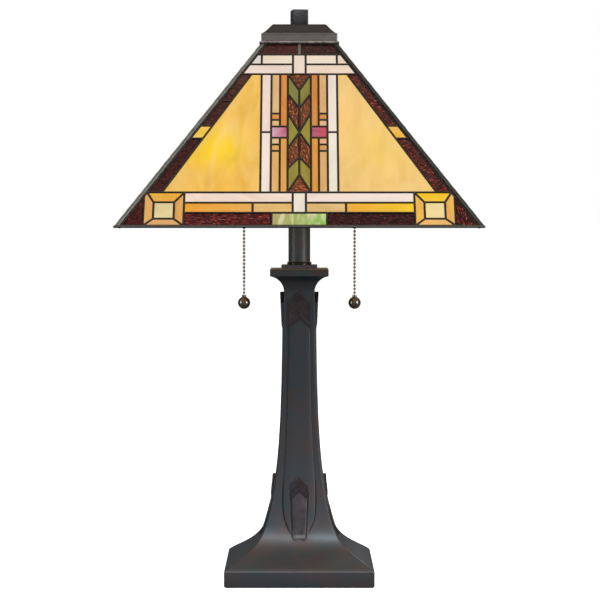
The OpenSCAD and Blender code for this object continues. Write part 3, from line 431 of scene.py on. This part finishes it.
# Bands from the top down: peak, half width, height, drop of the arms, rise of the upper edge and of the lower edge
BANDS = [
    (NECK_Z, CHEVRON_HALF, CHEVRON_H, CHEVRON_DROP, 4.6, 2.9),
    (NECK_Z - CHEVRON_H, CHEVRON_HALF, CHEVRON_H, CHEVRON_DROP, 4.0, 2.3),
    (NECK_Z - 2 * CHEVRON_H, CHEVRON_HALF, CHEVRON_H * 0.6, CHEVRON_DROP, 3.4, 2.3),
    (FEATHER_PEAK, FEATHER_HALF, 9.2, FEATHER_DROP, 5.0, 3.6),
    (FEATHER_PEAK - FEATHER_DROP, FEATHER_HALF, 7.4, FEATHER_DROP, 4.6, 3.2),
]
# Painted shadow lines in the grooves beside them: how far out at each height, their half widths, and the rise of the
# face they lie on
panel_edge = np.stack([PANEL_HALF[3:16] + 0.55, PANEL_Z[3:16]], -1)
shaft_edge = np.stack([SHAFT_HALF[2:] + 0.75, SHAFT_Z[2:]], -1)
GROOVES = [
    (panel_edge, np.interp(panel_edge[:, 1], [55, 62, 95, 113], [0.3, 0.75, 0.75, 0.15]), 0.0),
    (shaft_edge, np.interp(shaft_edge[:, 1], [48, 60, 98], [0.25, 0.9, 0.9]), PANEL_RISE),
]
panels = [(strip_on_flare(PANEL_Z, PANEL_HALF, PANEL_RISE, k), False, True) for k in range(4)]
ornament = []
for k in range(4):
    ornament.append((strip_on_flare(SHAFT_Z, SHAFT_HALF, SHAFT_RISE, k), False, True))
    ornament += [(chevron_on_flare(*sizes, k), False, True) for sizes in BANDS]
grooves = [(line_on_flare(edge, side, half, k, lift), False, True)
           for k in range(4) for side in (-1, 1) for edge, half, lift in GROOVES]
piece("column_casting", [(body_grid, False, True)], cast_bronze, "base", ["base_casting", "plinth_frame"])
piece("column_panels", panels, cast_bronze, "base", ())
piece("column_feathers", ornament, ornament_finish, "base", (), sharp=20)
# The groove lines are near-black painted shadow, laid 0.12 mm proud of the column
piece("column_grooves", grooves, groove_shadow_paint, "base", ())

# ---- Capital, plates and tube ----
turn = np.radians(np.linspace(0, 75, 14))
neck_out = float(flare(NECK_Z))
cove_out = CAPITAL_HALF - 1.3 - neck_out
cove = np.stack([neck_out + cove_out * (1 - np.cos(turn)) / (1 - math.cos(turn[-1])),
                 NECK_Z + (CAPITAL_Z - NECK_Z) * np.sin(turn) / math.sin(turn[-1]), np.full(14, 0.9)], -1)
plate = [(CAPITAL_HALF - 0.6, CAPITAL_Z, 0.9), (CAPITAL_HALF, CAPITAL_Z + 0.6, 0.9),
         (CAPITAL_HALF, SMALL_PLATE_Z - 1.0, 0.9), (CAPITAL_HALF - 0.4, SMALL_PLATE_Z - 0.3, 0.9),
         (CAPITAL_HALF - 1.1, SMALL_PLATE_Z, 0.9), (SMALL_PLATE_HALF - 0.1, SMALL_PLATE_Z, 0.9)]
piece("capital_cove", [(square_turned(cove.tolist() + plate), False, True)], cast_bronze, "base", ["capital"])
small_plate = [(SMALL_PLATE_HALF - 0.2, SMALL_PLATE_Z, 0.8), (SMALL_PLATE_HALF, SMALL_PLATE_Z + 0.3, 0.8),
               (SMALL_PLATE_HALF, TUBE_Z - 0.7, 0.8), (SMALL_PLATE_HALF - 0.5, TUBE_Z, 0.8), (12, TUBE_Z, 0.8)]
piece("capital_plate", [(square_turned(small_plate), False, True)], plate_finish, "base", ["small_plate"])
collar_r = TUBE_R + COLLAR_WALL
collar = [(TUBE_R, TUBE_Z), (collar_r, TUBE_Z), (collar_r, TUBE_Z + 2.2), (collar_r - 0.3, TUBE_Z + 2.9),
          (collar_r - 0.9, TUBE_Z + COLLAR_H), (TUBE_R, TUBE_Z + COLLAR_H)]
piece("collar", [(turned(collar, 64), True, False)], collar_finish, "base", ["tube_collar"])
inner_r, tube_end = TUBE_R - TUBE_WALL, TUBE_Z + TUBE_L
tube = [(inner_r, TUBE_Z), (TUBE_R, TUBE_Z), (TUBE_R, tube_end), (inner_r, tube_end)]
piece("tube", [(turned(tube, 72), True, False)], dark_tube_finish, "base", ["riser_tube"])

# ---- Shade ----
SLOPE = math.atan2(SHADE_TOP_Z - RIM_Z, RIM_HALF - SHADE_TOP_HALF)
SLANT = math.hypot(SHADE_TOP_Z - RIM_Z, RIM_HALF - SHADE_TOP_HALF)
COS, SIN = math.cos(SLOPE), math.sin(SLOPE)


def on_face(u, v, h, k):
    """Points of a sloping face: u across, v up the slope from the rim and h out of the glass, on face k."""
    u, v, h = np.broadcast_arrays(np.asarray(u, float), np.asarray(v, float), np.asarray(h, float))
    return spin(np.stack([u, -RIM_HALF + v * COS - h * SIN, RIM_Z + v * SIN + h * COS], -1), k)


def hip_line(v):
    """Where the corner strip starts on a face: its width in from the edge, which closes in up the slope."""
    return RIM_HALF - v * COS - HIP_W


# Rows up the slope and columns out from the middle
R_RUBY = RAIL_W
R_GOLD = R_RUBY + 16.7
R_WHITE = R_GOLD + 13.1
R_FIELD = R_WHITE + 13.5
R_TOP = SLANT - 15.3
R_CREAM2 = R_TOP - 14.0
R_CREAM1 = R_CREAM2 - 14.0
MID, HALF = (R_FIELD + R_CREAM1) / 2, (R_CREAM1 - R_FIELD) / 2
C_ORANGE, C_TAN, C_WHITE, C_AMBER = 12.4, 20.7, 30.1, 40.9
BLOCK, LEAF, TAN_END, JOINT = 6.9, 28.9, 48.6, 41.0
# Corner frame: how far it runs under the hip strip, and its width
FRAME_UNDER, FRAME_W = 3.0, 42.0
F_OUT, F_CUT = hip_line(R_FIELD) + FRAME_UNDER, R_FIELD - FRAME_UNDER / COS
F_IN = F_OUT - FRAME_W
F_MID = (F_IN + F_OUT) / 2
P_W, P_H, P_V = 10.7, 10.7, R_RUBY + 19.7
SQ1, SQ2, ROSE, INSERT = 16.85, 25.55, 7.65, 8.65


def box(u0, u1, v0, v1):
    """The corners of an upright rectangle, anticlockwise."""
    return [(u0, v0), (u1, v0), (u1, v1), (u0, v1)]


def flip(p):
    """An outline mirrored across the middle of the face, still anticlockwise."""
    return [(-u, v) for u, v in reversed(p)]


def band_in(v):
    """Inner edge of the dark band beside the hip: 15.5 mm in at the foot of the field, 10.5 mm at its top."""
    return hip_line(v) - 15.5 + 5.0 * (v - R_FIELD) / (R_CREAM1 - R_FIELD)


def band(v0, v1):
    """A length of that band between two heights up the slope."""
    return [(band_in(v0), v0), (hip_line(v0), v0), (hip_line(v1), v1), (band_in(v1), v1)]


def mark(share):
    """A height up the slope, as a share of the field's half height from its middle."""
    return MID + share * HALF


def barb(a, b):
    """Half of a slanting band of the feather, right of the middle, between two of its lines."""
    return [(0, mark(a[1])), (C_ORANGE, mark(a[0])), (C_ORANGE, mark(b[0])), (0, mark(b[1]))]


# Where the feather's lines start at its sides and meet in the middle, below and above the field's middle
BELOW = [(-0.275, 0), (-0.61, -0.42), (-1, -0.71)]
ABOVE = [(0.325, 0), (0.66, 0.41), (1, 0.715)]
BAR = (4.6 - CAME_W) / 2
RIGHT = [
    ("ruby", box(LEAF, F_IN, R_RUBY, R_GOLD)),
    ("tan", box(BLOCK, TAN_END, R_GOLD, R_WHITE)),
    ("gold", box(TAN_END, F_IN, R_GOLD, R_WHITE)),
    ("white", box(BLOCK, F_IN, R_WHITE, R_FIELD)),
    ("amber", box(F_MID - P_W, F_MID + P_W, P_V - P_H, P_V + P_H)),
    ("gold", [(F_IN, R_RUBY), (F_OUT, R_RUBY), (F_MID + P_W, P_V - P_H), (F_MID - P_W, P_V - P_H)]),
    ("gold", [(F_OUT, R_RUBY), (F_OUT, F_CUT), (hip_line(R_FIELD), R_FIELD), (F_MID + P_W, P_V + P_H),
              (F_MID + P_W, P_V - P_H)]),
    ("gold", [(hip_line(R_FIELD), R_FIELD), (F_IN, R_FIELD), (F_MID - P_W, P_V + P_H),
              (F_MID + P_W, P_V + P_H)]),
    ("gold", [(F_IN, R_FIELD), (F_IN, R_RUBY), (F_MID - P_W, P_V - P_H), (F_MID - P_W, P_V + P_H)]),
    ("ruby", [(F_OUT, R_RUBY), (hip_line(R_RUBY), R_RUBY), (F_OUT, F_CUT)]),
    ("orange", box(C_ORANGE, C_TAN, R_FIELD, MID - ROSE)),
    ("rose", box(C_ORANGE, C_WHITE, MID - ROSE, MID + ROSE)),
    ("orange", box(C_ORANGE, C_TAN, MID + ROSE, R_CREAM1)),
    ("tan", box(C_TAN, C_WHITE, R_FIELD, MID - SQ2)),
    ("orange", box(C_TAN, C_WHITE, MID - SQ2, MID - SQ1)),
    ("tan", box(C_TAN, C_WHITE, MID - SQ1, MID - ROSE)),
    ("tan", box(C_TAN, C_WHITE, MID + ROSE, MID + SQ1)),
    ("orange", box(C_TAN, C_WHITE, MID + SQ1, MID + SQ2)),
    ("tan", box(C_TAN, C_WHITE, MID + SQ2, R_CREAM1)),
    ("white", box(C_WHITE, C_AMBER, R_FIELD, MID)),
    ("white", box(C_WHITE, C_AMBER, MID, R_CREAM1)),
    ("amber", [(C_AMBER, R_FIELD), (band_in(R_FIELD), R_FIELD), (band_in(R_CREAM1), R_CREAM1),
               (C_AMBER, R_CREAM1)]),
    ("ruby", band(R_FIELD, MID - INSERT)),
    ("amber", band(MID - INSERT, MID + INSERT)),
    ("cream", [(BLOCK, R_CREAM1), (hip_line(R_CREAM1), R_CREAM1), (hip_line(R_CREAM2), R_CREAM2),
               (BLOCK, R_CREAM2)]),
    ("cream", box(BLOCK, JOINT, R_CREAM2, R_TOP)),
    ("cream", [(JOINT, R_CREAM2), (hip_line(R_CREAM2), R_CREAM2), (hip_line(R_TOP), R_TOP), (JOINT, R_TOP)]),
    ("ruby", [(BAR, R_TOP), (hip_line(R_TOP), R_TOP), (hip_line(SLANT), SLANT), (BAR, SLANT)]),
    ("brown", barb(BELOW[1], BELOW[0])),
    ("green", barb(BELOW[2], BELOW[1])),
    ("green", [(0, MID), (C_ORANGE, mark(BELOW[0][0])), (C_ORANGE, mark(ABOVE[0][0]))]),
    ("brown", barb(ABOVE[0], ABOVE[1])),
    ("green", barb(ABOVE[1], ABOVE[2])),
]
CELLS = [
    ("leaf", box(-LEAF, LEAF, R_RUBY, R_GOLD)),
    ("white", box(-BLOCK, BLOCK, R_GOLD, R_FIELD)),
    ("cream", box(-BLOCK, BLOCK, R_CREAM1, R_TOP)),
    ("brown", [(-C_ORANGE, R_FIELD), (C_ORANGE, R_FIELD), (0, mark(BELOW[2][1]))]),
    ("brown", [(C_ORANGE, R_CREAM1), (-C_ORANGE, R_CREAM1), (0, mark(ABOVE[2][1]))]),
    ("ruby", band(MID + INSERT, R_CREAM1)),
    ("ruby", flip(band(MID + INSERT, mark(0.53)))),
    ("ruby", flip(band(mark(0.53), R_CREAM1))),
] + RIGHT + [(glass, flip(p)) for glass, p in RIGHT]


# Tints of the panes in the order of CELLS, which they also glow with, so their lightness holds painted light: a pair
# runs from the pane's left end to its right
TINTS = """
#b4a868-#8ec25c #efe4d0 #efd6c4 #7c442c #5a2e1c #471f16 #43201a #4c2a20 #2a1010 #e3bb76 #f0a83a-#fccf20 #f8e2d4
#f7dfa4 #f4bc72 #f0b05e #fcc510 #f4b854 #2e1210 #e0953a #a85070-#c4101c #cc7a34 #deaa68 #d89a58 #e8ae80 #e4b080
#cc8040 #dba468 #f1e7d4 #eedfd0 #f5c87a #46201a #f2b24a #ecd2ba #efdabc #edd4be #2a1916 #6b3820 #a08c3a #a4933a
#64391f #8f8a3a #4a1614 #e6b86c #f09c24-#e8a658 #f6dccb #e1d09c #e0a870 #e4a468 #eba83a #dfa05c #4a1a16 #e0a050
#dcaabf-#b8506c #d8853a #e8b060 #e6a850 #e2bf84 #e2b878 #d88838 #dcb07c #f6dccd #f3d5c4 #f5bd4e #381416 #f6b832
#ecd5c9 #ead7ba #e8deda #3c1a16 #70402a #a0903c #9c9440 #5a3220 #8c8a48
""".split()


def inset(corners, d):
    """A convex outline, anticlockwise, with every side moved in by each distance in d: a corner moves by d times
    the sum of its two sides' inward normals over one plus their dot product."""
    p = np.asarray(corners, float)
    along = np.roll(p, -1, 0) - p
    along /= np.linalg.norm(along, axis=1)[:, None]
    after = np.stack([-along[:, 1], along[:, 0]], -1)
    before = np.roll(after, 1, 0)
    shift = (before + after) / (1 + (before * after).sum(1))[:, None]
    return p[None] + np.asarray(d, float)[:, None, None] * shift[None]


def softened(rings, sides):
    """Rings of corners with two more points on each side, near its ends, so that a corner's shading stays near it."""
    near = np.minimum(0.3, 1.4 / sides)[None, :, None]
    ahead = np.roll(rings, -1, 1) - rings
    return np.stack([rings, rings + near * ahead, rings + (1 - near) * ahead], 2).reshape(len(rings), -1, 2)


# Section of the lead round a pane: a rounded bead in front, a slot that holds the glass, a flatter bead behind
quarter = np.linspace(0, math.pi / 2, 7)
slot_front, slot_back = -GLASS_IN - 0.04, -CAME_T + GLASS_IN + 0.04
front_bead = np.stack([1.2 * np.sin(quarter), slot_front + 1.2 * np.cos(quarter)], -1)
back_bead = np.stack([1.05 * np.sin(quarter[::-2]), slot_back - 0.95 * np.cos(quarter[::-2])], -1)
LEAD = np.concatenate([front_bead, [(0.45, slot_front), (0.45, slot_back)], back_bead])
# Where the bulbs stand behind a face, the centres of the painted pools of light: out from its middle and up from the
# rim
BULB_U, BULB_V = 88.0, 108.0


def lead_round(corners, k):
    """The lead round one pane: the section carried once round the pane's outline."""
    p = np.asarray(corners, float)
    sides = np.linalg.norm(np.roll(p, -1, 0) - p, axis=1)
    rings = softened(inset(p, LEAD[:, 0]), sides)
    return on_face(rings[..., 0], rings[..., 1], LEAD[:, 1][:, None], k)


def is_lively(glass, middle, span):
    """Whether a pane's painted glints show at full strength: all but ruby do, and of the ruby only long level panes in
    the left half and tall ones in the right half."""
    return glass != "ruby" or (span[1] > 25 if middle[0] > 0 else span[0] > 5.5 * span[1])


LEAD_NODES = ["came_front", "came_right", "came_back", "came_left"]
# The grain is drawn out this many times along the way the sheet was rolled
GRAIN_STRETCH = 3.2
panes = {glass: {"grids": [], "sheet": [], "tint": [], "from_bulbs": []} for glass in GLASS}
for k in range(4):
    piece(f"lead_face_{k + 1}", [(lead_round(p, k), True, False) for _, p in CELLS], solder, "shade", [LEAD_NODES[k]],
          sharp=60)
    out = BULB_U if k % 2 == 0 else 0.0
    side = 1 if k == 0 else -1
    for (glass, corners), tints in zip(CELLS, TINTS):
        ring = inset(corners, [0.5])[0]
        both = np.stack([ring, ring])
        depth = np.array([-GLASS_IN, -GLASS_IN - GLASS_T])[:, None]
        store = panes[glass]
        store["grids"].append((on_face(both[..., 0], both[..., 1], depth, k), False, True))
        flat = both.reshape(-1, 2)
        middle = flat.mean(0)
        span = np.ptp(flat, axis=0)
        upright = glass in ("leaf", "green") or span[1] > 1.4 * span[0]
        grain = random.normal(0, 0.16) + (math.pi / 2 if upright else 0.0)
        c, s = math.cos(grain), math.sin(grain)
        along, across = ((flat - middle) @ np.array([[c, -s], [s, c]])).T
        offset = random.uniform(0, 4000, 2)
        store["sheet"].append(np.column_stack([(along / GRAIN_STRETCH + offset[0]) * MM, (across + offset[1]) * MM,
                                               np.repeat([0.0, GLASS_T * MM], len(ring))]))
        first, last = (np.array(colour(text)) for text in (tints[:7], tints[-7:]))
        place = ((flat[:, 0] - flat[:, 0].min()) / span[0])[:, None]
        shade = random.uniform(0.96, 1.04) if k else 1.0
        lively = 1.0 if is_lively(glass, middle, span) else 0.3
        store["tint"].append((first + (last - first) * place) * [shade, shade, shade, lively])
        store["from_bulbs"].append(MM * np.column_stack([flat[:, 0] + side * out, flat[:, 0] - side * out,
                                                         flat[:, 1] - BULB_V]))
for glass, store in panes.items():
    piece(f"{glass}_glass", store["grids"], GLASS[glass], "shade", [f"{glass}_panes"],
          fields=[(field, np.concatenate(store[field])) for field in ("sheet", "tint", "from_bulbs")])


def bar(k):
    """The metal bar that parts the top row of one face: a low rounded section carried straight up the face."""
    across = np.array([-2.3, -2.3, -2.0, -0.9, 0.9, 2.0, 2.3, 2.3])[None, :]
    out = np.array([-3.8, -0.6, 0.2, 0.6, 0.6, 0.2, -0.6, -3.8])[None, :]
    return on_face(across, np.linspace(R_TOP - 0.6, SLANT - 1.0, 6)[:, None], out, k)


# The top bars take the lit copy of the strip: painted light
piece("top_bars", [(bar(k), False, True) for k in range(4)], strip_painted_lit, "shade")


def hip(k):
    """The strip over one corner: its section crosses the edge of face k, rounds the ridge and comes back along
    face k+1, then returns inside. It is carried up the slope, with the unevenness of hand finishing."""
    v = np.linspace(RAIL_W - 0.5, SLANT, 64)[:, None]
    hammer = 0.12 * np.sin(v * 0.43 + k) + 0.1 * np.sin(v * 0.91 + 2 * k) + 0.06 * np.sin(v * 1.7)
    t = np.array([0.9, 1.0, 1.4, 2.2, 3.5, 4.7, 5.5])[None, :]
    rise = np.array([-GLASS_IN, 0.1, 0.4, 0.6, 0.6, 0.55, 0.45])[None, :]
    rise = rise + hammer * np.array([0, 0.3, 0.8, 1, 1, 1, 0.5])
    edge = hip_line(v) + t
    one = on_face(edge, v, rise, k)
    two = on_face(-edge[:, ::-1], v, rise[:, ::-1], k + 1)
    ridge = (one[:, -1:] + two[:, :1]) / 2
    away = ridge * [1, 1, 0]
    ridge = ridge + 0.28 * away / np.linalg.norm(away, axis=-1, keepdims=True)
    inner_t = np.array([1.87, 0.9, -0.3])[None, :]
    inner_rise = np.array([-CAME_T - 0.5, -CAME_T - 0.35, -CAME_T + 0.5])[None, :]
    inner = hip_line(v) + inner_t
    back_two = on_face(-inner[:, ::-1], v, inner_rise[:, ::-1], k + 1)
    back_one = on_face(inner, v, inner_rise, k)
    return np.concatenate([one, ridge, two, back_two[:, :2], back_one], 1)


# The right hips take the shaded copy of the strip and the left hips the lit copy: painted shade and painted light
for k in range(4):
    piece(f"corner_strip_{k + 1}", [(hip(k), False, True)], strip_painted_shaded if k < 2 else strip_painted_lit, "shade",
          [f"corner_came_{k + 1}"], sharp=50)


def out_and_up(v, h):
    """A point of the sloping face's section as half width and height, v up the slope and h out of it."""
    return (RIM_HALF - v * COS + h * SIN, RIM_Z + v * SIN + h * COS)


rail = [(RIM_HALF - 5.0, RIM_Z + 0.1), (RIM_HALF - 1.0, RIM_Z), (RIM_HALF - 0.4, RIM_Z + 0.2),
        (RIM_HALF - 0.08, RIM_Z + 0.9)]
rail += [out_and_up(v, h) for v, h in [(1.3, 0.85), (2.4, 0.95), (3.3, 0.55), (3.7, -0.4), (3.6, -CAME_T + 0.4),
                                       (3.9, -CAME_T - 0.3)]]
piece("rim_strip", [(square_turned([(a, b, 0.9) for a, b in rail]), True, False)], rim_solder, "shade", ["rim_rail"],
      sharp=50)
lip = [(32.2, SHADE_TOP_Z + 0.2), (43.4, SHADE_TOP_Z), (43.95, SHADE_TOP_Z + 0.6), (43.95, SHADE_TOP_Z + 2.0),
       (43.3, CAP_Z), (32.2, CAP_Z - 0.1)]
piece("lip_ring", [(square_turned([(a, b, 1.2) for a, b in lip]), True, False)], ring_solder, "shade", ["top_ring"])

# ---- Cap and knob ----
side_t = np.linspace(0, 1, 9)
cap_side = np.stack([41.1 - (41.1 - 30.7) * side_t, CAP_Z + 8.8 + 9.7 * side_t - 3.2 * side_t * (1 - side_t)], -1)
cap = [(6.0, SHADE_TOP_Z + 20.4), (28.0, SHADE_TOP_Z + 20.4), (38.0, CAP_Z + 7.5), (39.9, CAP_Z + 6.8),
       (39.9, CAP_Z + 0.1), (41.5, CAP_Z), (41.9, CAP_Z + 0.4), (41.9, CAP_Z + 8.3), (41.6, CAP_Z + 8.75)]
cap += cap_side.tolist() + [(30.0, CAP_TOP_Z - 0.9), (29.5, CAP_TOP_Z - 0.3), (29.0, CAP_TOP_Z), (6.0, CAP_TOP_Z)]
piece("shade_cap_spun", [(square_turned([(a, b, 1.1) for a, b in cap]), True, False)], cap_finish, "shade",
      ["shade_cap"])
knob_top = CAP_TOP_Z + FINIAL_H
knob = [(7.9, CAP_TOP_Z, 0.7), (8.55, CAP_TOP_Z + 0.4, 0.8), (8.75, CAP_TOP_Z + 1.0, 0.8),
        (8.75, knob_top - 1.2, 0.8), (8.5, knob_top - 0.4, 0.8), (7.9, knob_top, 0.7), (4.5, knob_top, 0.7)]
x, y, z = np.moveaxis(square_turned(knob), -1, 0)
c, s = math.cos(math.radians(FINIAL_TURN)), math.sin(math.radians(FINIAL_TURN))
knob_grid = np.stack([x * c - y * s, x * s + y * c, z], -1)
piece("square_knob", [(knob_grid, False, True)], finial_finish, "finial", ["finial"])


# ---- Pull chains: beads crimped on a wire, hanging straight down from each guide ----
def bead_row():
    """Radius and height down a row of beads: each bead is most of a circle, and a thin wire shows between them."""
    angle = np.linspace(0.16 * math.pi, 0.84 * math.pi, 6)
    centres = CHAIN_TOP_Z - BEAD_D / 2 - BEAD_PITCH * np.arange(BEADS)
    r = np.broadcast_to(BEAD_D / 2 * np.sin(angle), (BEADS, 6))
    s = centres[:, None] + BEAD_D / 2 * np.cos(angle)[None, :]
    wire = np.column_stack([np.full(BEADS, 0.45), s[:, 0] + 0.06])
    low = np.column_stack([np.full(BEADS, 0.45), s[:, -1] - 0.06])
    rows = np.concatenate([wire[:, None], np.stack([r, s], -1), low[:, None]], 1).reshape(-1, 2)
    return np.concatenate([rows, [[0.45, CHAIN_END_Z - 0.3]]])


for side, word in ((-1, "left"), (1, "right")):
    x = side * CHAIN_X
    chain = piece(f"bead_chain_{word}", [(turned(bead_row(), 14, (x, 0, 0)), False, True)], nickel, f"pull_{word}",
                  [f"pull_chain_{word}"], sharp=60)
    a = np.linspace(0.03, 0.94, 16) * math.pi
    ball_rows = [(BALL_D / 2 * math.sin(t), BALL_Z - BALL_D / 2 * math.cos(t)) for t in a]
    ball_rows += [(2.5, BALL_Z + 6.7), (2.55, BALL_Z + 7.4), (2.45, BALL_Z + 8.5), (2.1, BALL_Z + 8.95)]
    ball = piece(f"pull_knob_{word}", [(turned(ball_rows, 40, (x, 0, 0)), False, True)], ball_finish, f"pull_{word}",
                 [f"pull_ball_{word}"])

# ---- CAD nodes that keep their shape ----
KEPT = {
    "felt_pad": felt, "ballast_plate": steel, "clamp_washer": zinc_steel, "clamp_nut": brass,
    "cord_bushing": rubber, "lower_pipe": brass, "upper_pipe": brass, "cluster_body": socket_brass,
    "seat_nut": brass, "seat_washer": zinc_steel,
}
for word in ("left", "right"):
    KEPT |= {f"arm_nipple_{word}": brass, f"socket_cap_{word}": socket_brass, f"socket_shell_{word}": socket_brass,
             f"socket_core_{word}": phenolic, f"screw_shell_{word}": brass, f"pull_guide_{word}": socket_brass,
             f"bulb_base_{word}": aluminium, f"bulb_globe_{word}": bulb_glass}
for name, material in KEPT.items():
    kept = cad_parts[name]
    if not kept.material_slots:
        kept.data.materials.append(material)
    for held in kept.material_slots:
        held.material = material

# ---- Stage: white paper to the camera, dull grey to reflections, so the dark metal stays dark underneath ----
floor_mesh = bpy.data.meshes.new("floor")
floor_mesh.from_pydata([(-12, -12, 0), (12, -12, 0), (12, 12, 0), (-12, 12, 0)], [], [(0, 1, 2, 3)])
floor_material, tree = new_material("white_paper_floor")
paper = add(tree, "BsdfPrincipled", {"Base Color": (0.95, 0.95, 0.95, 1), "Roughness": 0.9, "Specular IOR Level": 0.1,
                                     "Emission Color": (1, 1, 1, 1), "Emission Strength": 1.0})[0]
shaded_paper = add(tree, "BsdfDiffuse", {"Color": (0.16, 0.165, 0.17, 1)})[0]
direct = add(tree, "LightPath")["Is Camera Ray"]
add(tree, "OutputMaterial", {"Surface": add(tree, "MixShader", {0: direct, 1: shaded_paper, 2: paper})[0]})
floor_mesh.materials.append(floor_material)
floor = bpy.data.objects.new("floor", floor_mesh)
scene.collection.objects.link(floor)

world = bpy.data.worlds.new("studio")
scene.world = world
world.use_nodes = True
tree = world.node_tree
tree.nodes.clear()
seen = add(tree, "LightPath")["Is Camera Ray"]
room = add(tree, "Background", {"Color": (0.88, 0.95, 1.0, 1), "Strength": 0.14})[0]
backdrop = add(tree, "Background", {"Color": (1, 1, 1, 1), "Strength": 1.0})[0]
add(tree, "OutputWorld", {"Surface": add(tree, "MixShader", {0: seen, 1: room, 2: backdrop})[0]})


def softbox(name, azimuth, elevation, distance, width, height, power, tone="#ffffff"):
    """A soft light aimed at the lamp's middle, placed by its angle round the lamp (0 in front, 90 at the right)."""
    data = bpy.data.lights.new(name, "AREA")
    data.shape, data.size, data.size_y, data.energy = "RECTANGLE", width, height, power
    data.color = colour(tone)[:3]
    light = bpy.data.objects.new(name, data)
    scene.collection.objects.link(light)
    a, e = math.radians(azimuth), math.radians(elevation)
    back = Vector((math.sin(a) * math.cos(e), -math.cos(a) * math.cos(e), math.sin(e)))
    light.location = Vector((0, 0, 0.3)) + back * distance
    light.rotation_euler = back.to_track_quat("Z", "Y").to_euler()
    light.visible_camera = False


# Angle round, angle up, distance, width and height in metres, and power in watts
softbox("right_softbox", 50, 14, 2.2, 0.9, 1.5, 34, "#fff4f0")
softbox("left_strip", -62, 12, 2.0, 0.35, 1.6, 14, "#eefaff")
softbox("front_fill", -6, 10, 3.2, 1.4, 1.6, 5, "#eaf6ff")
softbox("front_overhead", 6, 52, 2.2, 1.6, 0.6, 30)
softbox("overhead", 0, 88, 1.9, 1.6, 1.2, 16, "#fff2ea")
softbox("back_rim", 165, 35, 2.4, 1.0, 1.0, 12)

scene.view_settings.view_transform = "Standard"
scene.view_settings.look = "None"
